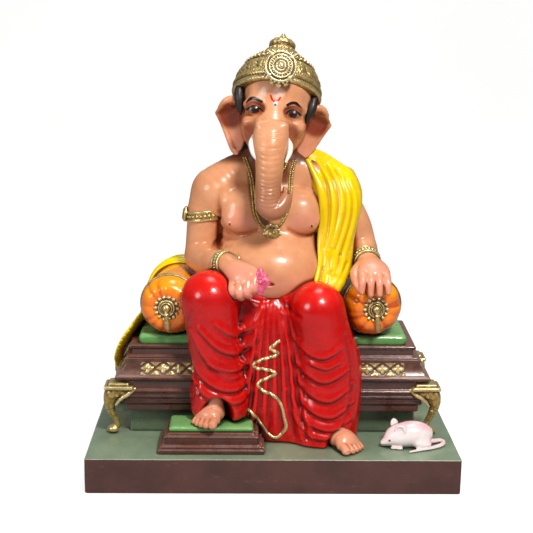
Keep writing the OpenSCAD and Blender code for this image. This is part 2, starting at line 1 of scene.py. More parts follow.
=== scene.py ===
"""Looks of the Ganesha idol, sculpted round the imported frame.

Sculpting works in millimetres in the frame's own axes: x to the viewer's right, the figure
faces -y, z up from the slab's underside. Each piece is clay on a grid of distances, built
from smooth unions, cuts and strokes, then skinned and painted. Blender gets it in metres.
"""
import math
import bpy
import numpy as np
from mathutils import Matrix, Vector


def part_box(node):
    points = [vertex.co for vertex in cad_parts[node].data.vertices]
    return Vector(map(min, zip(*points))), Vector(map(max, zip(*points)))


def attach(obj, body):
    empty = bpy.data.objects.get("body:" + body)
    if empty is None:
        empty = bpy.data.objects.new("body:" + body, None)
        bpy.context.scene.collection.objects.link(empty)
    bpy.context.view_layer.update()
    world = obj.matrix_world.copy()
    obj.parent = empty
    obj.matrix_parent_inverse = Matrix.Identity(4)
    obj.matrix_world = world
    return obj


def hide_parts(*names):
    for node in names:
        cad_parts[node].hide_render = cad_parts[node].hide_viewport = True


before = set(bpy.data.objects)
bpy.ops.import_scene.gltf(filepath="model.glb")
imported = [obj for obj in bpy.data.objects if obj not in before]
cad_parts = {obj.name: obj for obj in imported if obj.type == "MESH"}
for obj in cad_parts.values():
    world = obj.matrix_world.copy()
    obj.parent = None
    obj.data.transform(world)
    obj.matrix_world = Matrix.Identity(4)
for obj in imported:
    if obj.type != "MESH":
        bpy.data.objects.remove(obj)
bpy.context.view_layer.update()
MM = 0.001
COARSER = 1.0
FAR = 100.0          # distance given to places that no form has reached, in mm
UNPAINTED = 50.0     # value of a painted feature well away from it, in mm
CORNERS = np.array([(c >> 2 & 1, c >> 1 & 1, c & 1) for c in range(8)])


# ---------------------------------------------------------------- small vector helpers
def vec(*values):
    return np.array(values, np.float64)


def unit(v):
    return v / (np.linalg.norm(v) + 1e-9)


def cad_box(node):
    """Lowest and highest corner of a CAD node, in millimetres."""
    low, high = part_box(node)
    return np.array(low) / MM, np.array(high) / MM


def spline(a, b, c, d, t):
    """Point between b and c on a Catmull-Rom curve."""
    return 0.5 * (2 * b + (c - a) * t + (2 * a - 5 * b + 4 * c - d) * t * t
                  + (3 * b - a - 3 * c + d) * t ** 3)


def smoothed(stations, steps=4):
    """Stations with more between them, on a Catmull-Rom curve."""
    s = np.array(stations, float)
    rows = []
    for i in range(len(s) - 1):
        a, b = s[max(i - 1, 0)], s[i]
        c, d = s[i + 1], s[min(i + 2, len(s) - 1)]
        rows += [spline(a, b, c, d, t) for t in np.arange(steps) / steps]
    return np.array(rows + [s[-1]])


def soft_min(a, b, k):
    if k <= 0:
        return np.minimum(a, b)
    h = np.clip(0.5 + 0.5 * (b - a) / k, 0, 1)
    return b + (a - b) * h - k * h * (1 - h)


def step_up(low, high, t):
    """0 below low, 1 above high, smooth between."""
    s = np.clip((t - low) / (high - low), 0, 1)
    return s * s * (3 - 2 * s)


def in_view(*numbers):
    """Points [x, 0, z] seen from the front, from x and z in turn."""
    return [[x, 0, z] for x, z in zip(numbers[::2], numbers[1::2])]


def angles(count):
    """Equal steps round a circle."""
    return [2 * math.pi * k / count for k in range(count)]


def segment_gap(x, z, a, b):
    """Squared distance in the front view to the line from a to b."""
    run = b - a
    t = np.clip(((x - a[0]) * run[0] + (z - a[1]) * run[1]) / (run @ run + 1e-9), 0, 1)
    return (x - a[0] - t * run[0]) ** 2 + (z - a[1] - t * run[1]) ** 2


def capped(sides, ends):
    """Distance to a column from its sides' and its ends' distances."""
    return np.where(ends > 0, np.sqrt(np.maximum(sides, 0) ** 2 + ends ** 2), np.maximum(sides, ends))


def read(grid, low, step, points):
    """Values of a grid at any points, read between its places."""
    g = np.clip((points - low) / step, 0, np.array(grid.shape) - 1.001)
    i = g.astype(int)
    f = (g - i).astype(np.float32)
    out = 0
    for o in CORNERS:
        w = np.prod([f[:, k] if o[k] else 1 - f[:, k] for k in range(3)], axis=0)
        out = out + w * grid[i[:, 0] + o[0], i[:, 1] + o[1], i[:, 2] + o[2]]
    return out


# ---------------------------------------------------------------- forms
class Form:
    """A solid to add to clay: its box, and field(xs, ys, zs, reach), true near its surface."""

    def __init__(self, low, high, field):
        self.low, self.high, self.field = np.array(low, float), np.array(high, float), field


def turning(turn):
    """Rotation matrix for degrees about x, then y, then z."""
    ax, ay, az = np.radians(turn)
    rx = np.array([[1, 0, 0], [0, math.cos(ax), -math.sin(ax)], [0, math.sin(ax), math.cos(ax)]])
    ry = np.array([[math.cos(ay), 0, math.sin(ay)], [0, 1, 0], [-math.sin(ay), 0, math.cos(ay)]])
    rz = np.array([[math.cos(az), -math.sin(az), 0], [math.sin(az), math.cos(az), 0], [0, 0, 1]])
    return rz @ ry @ rx


def local(axes, centre, turn):
    """Coordinates in a turned frame at centre, as three arrays over the grid's axes."""
    m = turning(turn).T
    x = (axes[0] - centre[0])[:, None, None]
    y = (axes[1] - centre[1])[None, :, None]
    z = (axes[2] - centre[2])[None, None, :]
    return [m[i, 0] * x + m[i, 1] * y + m[i, 2] * z for i in range(3)]


def radial(u, v, w, ru, rv, rw):
    """Near-true distance to an ellipsoid."""
    k0 = np.sqrt((u / ru) ** 2 + (v / rv) ** 2 + (w / rw) ** 2)
    k1 = np.sqrt((u / ru ** 2) ** 2 + (v / rv ** 2) ** 2 + (w / rw ** 2) ** 2)
    return k0 * (k0 - 1) / (k1 + 1e-6)


def ball(centre, radii, turn=(0, 0, 0)):
    """Ellipsoid; radii is a number or three."""
    r = np.ones(3) * radii
    reach_out = np.ones(3) * r.max() if any(turn) else r

    def field(xs, ys, zs, reach):
        u, v, w = local((xs, ys, zs), centre, turn)
        return radial(u, v, w, *r)
    return Form(np.array(centre) - reach_out, np.array(centre) + reach_out, field)


def block(centre, half, turn=(0, 0, 0), rounded=1.0):
    """Box with rounded edges."""
    half = np.array(half, float)
    out = np.ones(3) * np.linalg.norm(half) if any(turn) else half

    def field(xs, ys, zs, reach):
        q = [np.abs(c) - (h - rounded) for c, h in zip(local((xs, ys, zs), centre, turn), half)]
        outside = np.sqrt(sum(np.maximum(c, 0) ** 2 for c in q))
        inside = np.minimum(np.maximum(np.maximum(q[0], q[1]), q[2]), 0)
        return outside + inside - rounded
    return Form(np.array(centre) - out, np.array(centre) + out, field)


def tube(stations, side=(1, 0, 0), steps=4):
    """Tapered tube through [x, y, z, half width, half depth]; half width runs along side."""
    s = np.array(stations, float)
    if s.shape[1] == 4:
        s = np.hstack([s, s[:, 3:]])
    s = smoothed(s, steps)
    is_round = np.allclose(s[:, 3], s[:, 4])

    def field(xs, ys, zs, reach):
        out = np.full((len(xs), len(ys), len(zs)), FAR, np.float32)
        for a, b in zip(s[:-1], s[1:]):
            pad = max(a[3:].max(), b[3:].max()) + reach
            low, high = np.minimum(a[:3], b[:3]) - pad, np.maximum(a[:3], b[:3]) + pad
            cut = tuple(slice(*np.searchsorted(c, (lo, hi))) for c, lo, hi
                        in zip((xs, ys, zs), low, high))
            if any(c.start >= c.stop for c in cut):
                continue
            x, y, z = xs[cut[0], None, None], ys[None, cut[1], None], zs[None, None, cut[2]]
            run = b[:3] - a[:3]
            length2 = run @ run + 1e-9
            px, py, pz = x - a[0], y - a[1], z - a[2]
            t = np.clip((px * run[0] + py * run[1] + pz * run[2]) / length2, 0, 1)
            qx, qy, qz = px - t * run[0], py - t * run[1], pz - t * run[2]
            ra, rb = a[3] + t * (b[3] - a[3]), a[4] + t * (b[4] - a[4])
            if is_round:
                d = np.sqrt(qx * qx + qy * qy + qz * qz) - ra
            else:
                w = run / math.sqrt(length2)
                u = unit(np.array(side) - w * (w @ np.array(side)))
                v = np.cross(w, u)
                d = radial(qx * u[0] + qy * u[1] + qz * u[2], qx * v[0] + qy * v[1] + qz * v[2],
                           qx * w[0] + qy * w[1] + qz * w[2], ra, rb, np.minimum(ra, rb))
            out[cut] = np.minimum(out[cut], d)
        return out
    pad = s[:, 3:].max()
    return Form(s[:, :3].min(0) - pad, s[:, :3].max(0) + pad, field)


def stack(rows, steps=6, power=2.0):
    """Level sections [z, middle x, half width, front y, back y], joined smoothly up z."""
    s = smoothed(rows, steps)

    def field(xs, ys, zs, reach):
        z = np.clip(zs, s[0, 0], s[-1, 0])
        cx, rx, front, back = (np.interp(z, s[:, 0], s[:, i])[None, None, :] for i in range(1, 5))
        cy, ry = (front + back) / 2, (back - front) / 2
        u, v = (xs[:, None, None] - cx) / rx, (ys[None, :, None] - cy) / ry
        k = (np.abs(u) ** power + np.abs(v) ** power) ** (1 / power)
        grade = np.sqrt((u / rx) ** 2 + (v / ry) ** 2) / (np.sqrt(u * u + v * v) + 1e-6)
        sides = (k - 1) / (grade + 1e-6)
        ends = np.maximum(s[0, 0] - zs, zs - s[-1, 0])[None, None, :]
        return capped(sides, ends)
    low = [(s[:, 1] - s[:, 2]).min(), s[:, 3].min(), s[0, 0]]
    high = [(s[:, 1] + s[:, 2]).max(), s[:, 4].max(), s[-1, 0]]
    return Form(low, high, field)


def ring(centre, radius, bead, turn=(0, 0, 0), squash=1.0):
    """Torus about its own z; squash narrows it along its own y."""
    out = np.ones(3) * (radius + bead)

    def field(xs, ys, zs, reach):
        u, v, w = local((xs, ys, zs), centre, turn)
        return np.sqrt((np.sqrt(u * u + (v / squash) ** 2) - radius) ** 2 + w * w) - bead
    return Form(np.array(centre) - out, np.array(centre) + out, field)


# ---------------------------------------------------------------- clay
class Clay:
    """Distances to a surface on a grid, in millimetres; inside is negative."""
    kept = []

    def __init__(self, low, high, step):
        self.step = step * COARSER
        self.low = np.array(low, float)
        self.axes = [np.arange(a, b + self.step, self.step).astype(np.float32)
                     for a, b in zip(low, high)]
        self.d = np.full([len(a) for a in self.axes], FAR, np.float32)
        Clay.kept.append(self)

    def window(self, low, high):
        return tuple(slice(*np.searchsorted(a, (lo, hi))) for a, lo, hi
                     in zip(self.axes, low, high))

    def _field(self, form, blend):
        reach = blend + 3 * self.step
        cut = self.window(form.low - reach, form.high + reach)
        if any(c.start >= c.stop for c in cut):
            return cut, None
        return cut, form.field(*[a[c] for a, c in zip(self.axes, cut)], reach)

    def add(self, form, blend=0.0):
        cut, new = self._field(form, blend)
        if new is not None:
            self.d[cut] = soft_min(self.d[cut], new, blend)
        return self

    def cut(self, form, blend=0.0):
        cut, new = self._field(form, blend)
        if new is not None:
            self.d[cut] = -soft_min(-self.d[cut], new, blend)
        return self

    def relief(self, low, high, height):
        """Raises the surface by height(x, y, z) inside a box."""
        cut = self.window(low, high)
        xs, ys, zs = (a[c] for a, c in zip(self.axes, cut))
        self.d[cut] -= height(xs[:, None, None], ys[None, :, None], zs[None, None, :])
        return self

    def carve(self, other, gap=0.0):
        """Takes another clay's solid, grown by gap, out of this one."""
        low = np.maximum(self.low, other.low)
        high = np.minimum([a[-1] for a in self.axes], [a[-1] for a in other.axes])
        cut = self.window(low, high)
        if any(c.start >= c.stop for c in cut):
            return self
        grids = np.meshgrid(*[a[c] for a, c in zip(self.axes, cut)], indexing="ij")
        there = other.at(np.stack([g.ravel() for g in grids], 1)).reshape(grids[0].shape)
        self.d[cut] = np.maximum(self.d[cut], gap - there)
        return self

    def at(self, points):
        """Distance at any points, read between grid values."""
        return read(self.d, self.low, self.step, points)

    def slope(self, points):
        """Outward direction at points near the surface."""
        h = self.step
        g = np.stack([self.at(points + h * e) - self.at(points - h * e) for e in np.eye(3)], 1)
        return g / (np.linalg.norm(g, axis=1, keepdims=True) + 1e-9)

    def snap(self, path, toward=(0, 1, 0), start=60.0):
        """Points on the surface, found by walking from start mm before each point."""
        way = unit(np.array(toward, float))
        p = np.array(path, float)[:, :3] - way * start
        for _ in range(200):
            p = p + way * np.clip(self.at(p), -0.5, 1.2)[:, None]
        return p

    def stroke(self, path, width, height, blend=2.0, toward=(0, 1, 0), start=60.0, steps=5,
               taper=0.35):
        """A ridge (height above 0) or a groove (below 0) along a path laid on the surface."""
        dense = smoothed(path, steps)
        p = self.snap(dense, toward, start)
        hit = (np.abs(self.at(p)) < 1.0) & ((p - dense) @ np.array(toward) < 45)
        if hit.sum() < 3:
            return self
        t = np.linspace(0, 1, len(p))[hit]
        p = p[hit]
        n = self.slope(p)
        swell = taper + (1 - taper) * np.sin(math.pi * np.clip(t, 0.02, 0.98)) ** 0.6
        r = width * swell
        if height > 0:
            rows = np.hstack([p - n * (r - height * swell)[:, None], r[:, None]])
            return self.add(tube(rows, steps=1), blend)
        rows = np.hstack([p + n * (r + height * swell)[:, None], r[:, None]])
        return self.cut(tube(rows, steps=1), blend)


# ---------------------------------------------------------------- skinning
EDGES = [(a, b) for a in range(8) for b in range(a + 1, 8)
         if np.abs(CORNERS[a] - CORNERS[b]).sum() == 1]


def skin(clay, relax=2):
    """Quads on the clay's surface, evened out and pulled back onto it: points and faces."""
    d = clay.d
    d[0], d[-1], d[:, 0], d[:, -1] = [np.maximum(s, 0.01) for s in (d[0], d[-1], d[:, 0], d[:, -1])]
    d[:, :, 0], d[:, :, -1] = np.maximum(d[:, :, 0], 0.01), np.maximum(d[:, :, -1], 0.01)
    solid = d < 0
    cells = np.array(d.shape) - 1
    count = np.zeros(cells, np.int8)
    for c in CORNERS:
        count += solid[c[0]:c[0] + cells[0], c[1]:c[1] + cells[1], c[2]:c[2] + cells[2]]
    where = np.argwhere((count > 0) & (count < 8))
    number = np.full(cells, -1, np.int32)
    number[tuple(where.T)] = np.arange(len(where))
    values = np.stack([d[tuple((where + c).T)] for c in CORNERS], 1)
    total, hits = np.zeros((len(where), 3)), np.zeros((len(where), 1))
    for a, b in EDGES:
        va, vb = values[:, a], values[:, b]
        crosses = (va < 0) != (vb < 0)
        t = np.where(crosses, va / np.where(crosses, va - vb, 1), 0)[:, None]
        total += crosses[:, None] * (CORNERS[a] + t * (CORNERS[b] - CORNERS[a]))
        hits += crosses[:, None]
    points = clay.low + clay.step * (where + total / hits)
    quads = []
    for axis in range(3):
        u, v = (axis + 1) % 3, (axis + 2) % 3
        near = [slice(None)] * 3
        near[axis] = slice(0, -1)
        far = [slice(None)] * 3
        far[axis] = slice(1, None)
        a, b = solid[tuple(near)], solid[tuple(far)]
        for first, flip in ((a & ~b, False), (~a & b, True)):
            e = np.argwhere(first)
            e = e[(e[:, u] > 0) & (e[:, v] > 0) & (e[:, u] < cells[u]) & (e[:, v] < cells[v])]
            ring4 = []
            for du, dv in ((-1, -1), (0, -1), (0, 0), (-1, 0)):
                cell = e.copy()
                cell[:, u] += du
                cell[:, v] += dv
                ring4.append(number[tuple(cell.T)])
            face = np.stack(ring4[::-1] if flip else ring4, 1)
            quads.append(face)
    quads = np.concatenate(quads)
    links = np.concatenate([quads[:, [0, 1]], quads[:, [1, 2]], quads[:, [2, 3]], quads[:, [3, 0]]])
    valence = np.bincount(links.ravel(), minlength=len(points))[:, None]
    for _ in range(relax):
        near_sum = np.stack([np.bincount(links[:, 0], points[links[:, 1], k], len(points))
                             + np.bincount(links[:, 1], points[links[:, 0], k], len(points))
                             for k in range(3)], 1)
        points = 0.4 * points + 0.6 * near_sum / np.maximum(valence, 1)
        pull = np.clip(clay.at(points), -clay.step, clay.step)
        points = points - clay.slope(points) * pull[:, None]
    return points, quads


def outward(points, quads):
    """The quads, turned over if they enclose a negative volume."""
    a, b, c, d = (points[quads[:, i]] for i in range(4))
    volume = np.einsum("ij,ij->i", a, np.cross(b, c)).sum()
    volume += np.einsum("ij,ij->i", a, np.cross(c, d)).sum()
    return quads[:, ::-1] if volume < 0 else quads


def wrapped(levels, around):
    """Quads between closed rows of points, one row above the other."""
    here = np.arange(around)
    beside = (here + 1) % around
    return np.concatenate([np.stack([j * around + here, j * around + beside, (j + 1) * around + beside,
                                     (j + 1) * around + here], 1) for j in range(levels - 1)])


def mesh_object(name, points, quads, triangles=np.zeros((0, 3), int)):
    """Smooth-shaded mesh from points in millimetres."""
    me = bpy.data.meshes.new(name)
    me.vertices.add(len(points))
    me.vertices.foreach_set("co", (np.asarray(points, np.float32) * MM).ravel())
    loops = np.concatenate([quads.ravel(), triangles.ravel()]).astype(np.int32)
    me.loops.add(len(loops))
    me.loops.foreach_set("vertex_index", loops)
    starts = np.concatenate([np.arange(len(quads)) * 4, quads.size + np.arange(len(triangles)) * 3])
    me.polygons.add(len(starts))
    me.polygons.foreach_set("loop_start", starts.astype(np.int32))
    me.polygons.foreach_set("use_smooth", np.full(len(starts), True))
    me.update(calc_edges=True)
    me.validate()
    o = bpy.data.objects.new(name, me)
    bpy.context.collection.objects.link(o)
    return o


def tint(obj, name, values):
    """Stores one number per point, for the material to read."""
    layer = obj.data.attributes.new(name, "FLOAT", "POINT")
    layer.data.foreach_set("value", np.asarray(values, np.float32))


def leaf(outline, middle, thickness, rounded, span):
    """A curved sheet facing y: its closed outline in (x, z), its middle y as middle(x, z)."""
    ring2 = np.array(outline, float)
    loop = np.vstack([ring2[-1:], ring2, ring2[:2]])
    pts = np.array([spline(*loop[i:i + 4], t) for i in range(len(ring2)) for t in (0, 0.25, 0.5, 0.75)])

    def field(xs, ys, zs, reach):
        x, z = xs[:, None], zs[None, :]
        best, inside = np.full((len(xs), len(zs)), 1e6), np.zeros((len(xs), len(zs)), bool)
        for a, b in zip(pts, np.roll(pts, -1, 0)):
            run = b - a
            best = np.minimum(best, segment_gap(x, z, a, b))
            crosses = (a[1] > z) != (b[1] > z)
            inside ^= crosses & (x < a[0] + (z - a[1]) * run[0] / (run[1] + 1e-12 * (run[1] == 0)))
        flat = np.where(inside, -1, 1) * np.sqrt(best)
        flat = (flat + rounded)[:, None, :]
        deep = np.abs(ys[None, :, None] - middle(x, z)[:, None, :]) - thickness / 2 + rounded
        outside = np.sqrt(np.maximum(flat, 0) ** 2 + np.maximum(deep, 0) ** 2)
        return outside + np.minimum(np.maximum(flat, deep), 0) - rounded
    low_y, high_y = span
    return Form([pts[:, 0].min(), low_y, pts[:, 1].min()], [pts[:, 0].max(), high_y, pts[:, 1].max()],
                field)


# ---------------------------------------------------------------- places taken from the frame
DECK = cad_box("base_slab")[1][2]
STOOL_TOP = cad_box("footstool_cushion")[1][2]
HEAD = vec(-3, 0, 270)
ROLL = 7.0
HEAD_TURN = (0, ROLL, 0)
CROWN = vec(0.8, 3, 306.5)
CROWN_TURN = (-28, ROLL, 0)


def in_crown(x, y, z):
    """A point given in the crown's own frame, which leans back from the brow."""
    return CROWN + turning(CROWN_TURN) @ vec(x, y, z)


# ---------------------------------------------------------------- torso, arms and hands
def sculpt_body():
    c = Clay((-84, -82, 112), (104, 46, 268), 1.05)
    c.add(stack([[112, -2, 42, -18, 36], [130, -2, 45, -30, 38], [145, -2, 44, -34, 37],
                 [160, -2, 43, -34, 34], [175, -2, 42, -30, 32], [190, -2, 42, -25, 31],
                 [206, -1.5, 43, -19, 32], [220, -1, 45, -14, 32], [233, 0, 42, -8, 30],
                 [244, 0, 33, -3, 27], [254, -1, 22, -4, 24], [266, -1, 18, -6, 22]]))
    # belly, with a soft fold above it
    c.add(ball((-2, -9, 168), (45.5, 36, 29)), 9)
    c.add(ball((-3, -14, 158), (38, 30, 20)), 9)
    # shoulders and the slope up to the neck
    c.add(tube([[-14, 8, 254, 13], [-32, 8, 243, 16], [-47, 6, 230, 20.5]]), 10)
    c.add(tube([[14, 8, 252, 13], [32, 9, 242, 16], [47, 8, 228, 20]]), 10)
    # chest
    c.add(ball((-23, -8, 215), (22, 15.5, 18), (0, 12, 0)), 6)
    c.add(ball((19, -8, 214), (22, 15.5, 18), (0, -12, 0)), 6)
    c.add(ball((-29, -14, 208), (15, 10.5, 11)), 5)
    c.add(ball((24, -14, 208), (15, 10.5, 11)), 5)
    # right arm, bent over the knee
    c.add(tube([[-52, 6, 226, 16, 17], [-57.5, 4, 214, 14.5, 16], [-59, 4, 200, 13.6, 15],
                [-60.5, 3, 186, 13, 14], [-61, 0, 176, 13, 13]]), 7)
    c.add(tube([[-60.5, -2, 174, 13, 13.5], [-55, -14, 173.5, 12.2, 13], [-47, -29, 175.5, 10, 10.5],
                [-38, -43, 177.5, 7.8, 8.4]]), 4)
    # left arm, resting on the bolster
    c.add(tube([[52, 9, 224, 16, 17], [62, 10, 212, 14.5, 16], [69, 10, 200, 13.5, 14.5],
                [73, 9, 188, 13, 13.5], [75, 3, 179, 12, 12.5]]), 7)
    c.add(tube([[75, 3, 179, 12, 12], [76, -8, 176.5, 10.6, 11], [77, -18, 175, 8.6, 9]]), 5)
    # creases: under the breasts, the armpits, above the belly's sides
    c.stroke(in_view(-45, 213, -41, 203, -33, 197.5, -24, 197.5, -14, 201),
             1.6, -1.0, 2.2)
    c.stroke(in_view(39, 210, 35, 200, 29, 196.5, 20, 197.5, 11, 202),
             1.6, -1.0, 2.2)
    c.stroke(in_view(-44, 232, -46, 222, -45, 212, -44.5, 200, -45, 190),
             1.8, -1.4, 2.5)
    c.stroke(in_view(-45, 192, -38, 191.5, -30, 193.5), 1.2, -0.7, 2)
    c.stroke(in_view(-45, 186, -40, 186, -35, 188), 1.0, -0.5, 2)
    # inside of the right elbow
    c.stroke(in_view(-47, 188, -50, 186, -54, 185.5), 1.4, -0.9, 2)
    # nipples and navel
    for x, z in ((-36.5, 206.5), (30.5, 205.5)):
        p = c.snap([[x, 0, z]])[0]
        c.add(ball(p + vec(0, 0.3, 0), 1.5), 0.8)
    navel = c.snap([[-3, 0, 161.5]])[0]
    c.cut(ball(navel + vec(0, -0.2, 0), (3.2, 2.2, 1.25)), 0.8)
    c.stroke(in_view(-7, 160.6, -3, 158.8, 1, 160.6), 1.0, 0.35, 1.2)
    return c


def finger(c, joints, radii, blend=1.0):
    """One finger through its joints, with the given radius at each joint."""
    rows = [[*j, r] for j, r in zip(joints, radii)]
    c.add(tube(rows, steps=4), blend)


def sculpt_hands(c):
    # right hand: a loose fist on the inner side of the knee
    c.add(tube([[-38, -43, 177.5, 7.6, 8.2], [-33, -50, 174.5, 9.6, 7.6], [-27, -57, 171, 11.5, 7.2],
                [-23, -61, 168, 11.5, 6.4]], side=(0.9, -0.35, 0.35)), 3)
    c.add(ball((-26, -57.5, 168), (10.5, 8, 9), (0, -20, 0)), 2)
    knuckles = [[-33, -58.5, 166.5], [-27.5, -62, 167], [-21.5, -63.5, 169], [-16, -63, 171.5]]
    middles = [[-34, -64.5, 161], [-28.5, -67.5, 159.5], [-22.5, -68.5, 161], [-16.8, -67.5, 164]]
    tips = [[-32, -62.5, 156.5], [-26.5, -64.5, 155.5], [-20.6, -65.5, 157.5], [-15.6, -64.5, 160.5]]
    for a, b, d in zip(knuckles, middles, tips):
        finger(c, [a, b, d], [3.9, 3.6, 3.2], 0.8)
    finger(c, [[-27, -52, 177], [-20, -58, 177], [-14.5, -62, 174.5], [-12.5, -64, 170.5]],
           [4.2, 3.8, 3.4, 3.0], 1.5)
    # left hand: laid over the end of the bolster
    c.add(tube([[77, -17, 175, 8.4, 8.8], [78.5, -26, 174.5, 10, 7.4], [80.5, -35, 172.5, 12.3, 6.4],
                [81.5, -41, 169.5, 12.6, 5.4]]), 3)
    for i in range(4):
        x = 71.5 + 6.1 * i
        reach, spread = (0.0, 1.4, 0.6, -1.6)[i], (i - 1.4) * 1.0
        finger(c, [[x, -39.5, 170.2 - 0.3 * i], [x + 0.35 * spread, -45.5, 168.6 - 0.5 * i],
                   [x + 0.8 * spread, -50, 163.6 - 0.6 * i],
                   [x + 1.1 * spread, -51.5, 157 - 0.6 * i - reach]], [3.9, 3.7, 3.0, 2.4], 0.8)
        c.add(ball((x, -39, 171.6 - 0.3 * i), (3.2, 3.4, 2.4)), 1.6)
    finger(c, [[70, -27, 173], [65.5, -36, 169.5], [65.5, -44, 164.5], [68, -49, 158.5]],
           [4.4, 4, 3.5, 2.7], 1.5)
    return c


# ---------------------------------------------------------------- feet
def sculpt_foot(ankle, heel, toes, ground, mirror):
    """Bare foot from ankle to toes; toes is the middle of the toe line, mirror puts the big toe."""
    way = unit(vec(toes[0] - heel[0], toes[1] - heel[1], 0))
    side = np.cross(way, vec(0, 0, 1)) * mirror
    heel, toes = vec(*heel), vec(*toes)
    low = np.minimum(heel, toes) - 18
    high = np.maximum(heel, toes) + 18
    c = Clay((low[0], low[1], ground - 1), (high[0], high[1], ankle[2] + 14), 0.55)
    middle = (heel + toes) / 2
    c.add(tube([[ankle[0], ankle[1], ankle[2] + 10, 8.4], [*ankle, 8.2],
                [*(heel + vec(0, 0, ground + 8)), 8.6]]))
    c.add(tube([[*(heel + vec(0, 0, ground + 6.5)), 8.2, 7], [*(middle + vec(0, 0, ground + 7.5)), 10, 7.4],
                [*(toes - way * 4 + vec(0, 0, ground + 4.6)), 11.4, 4.6]], side=side), 5)
    c.add(ball((ankle[0] + side[0] * 7.6, ankle[1] + 2, ankle[2] - 2), 3), 4)
    spread = [(-8.4, 3.6, 5.6), (-2.8, 2.9, 6.0), (1.9, 2.7, 5.2), (6.0, 2.5, 3.8), (9.8, 2.3, 1.8)]
    for offset, r, ahead in spread:
        root = toes + side * (offset * 0.93) - way * 3 + vec(0, 0, ground + r + 1.5)
        tip = toes + side * offset + way * (ahead - 2) + vec(0, 0, ground + r - 0.3)
        c.add(tube([[*root, r * 0.95], [*((root + tip) / 2 + vec(0, 0, 0.7)), r * 0.92], [*tip, r]]), 0.9)
        nail = tip + way * (r * 0.62) + vec(0, 0, r * 0.55)
        c.add(block(nail, (r * 0.5, r * 0.45, 0.35), (0, 0, math.degrees(math.atan2(way[1], way[0])) - 90),
                    0.3), 0.3)
    return c


# ---------------------------------------------------------------- head, trunk and ears
def head_form(rows, low, high, locks=None):
    """Level sections, as in stack, in the head's own frame; locks(u, v, w) stands proud of them."""
    s = smoothed(rows, 6)

    def field(xs, ys, zs, reach):
        u, v, w = local((xs, ys, zs), HEAD, HEAD_TURN)
        z = np.clip(w, s[0, 0], s[-1, 0])
        cx, rx, near, back = (np.interp(z, s[:, 0], s[:, i]) for i in range(1, 5))
        cy, ry = (near + back) / 2, (back - near) / 2
        a, b = (u - cx) / rx, (v - cy) / ry
        k = np.sqrt(a * a + b * b)
        grade = np.sqrt((a / rx) ** 2 + (b / ry) ** 2) / (k + 1e-6)
        sides = (k - 1) / (grade + 1e-6)
        if locks:
            sides = sides - locks(u, v, w)
        return capped(sides, np.maximum(s[0, 0] - w, w - s[-1, 0]))
    return Form(HEAD + vec(*low), HEAD + vec(*high), field)


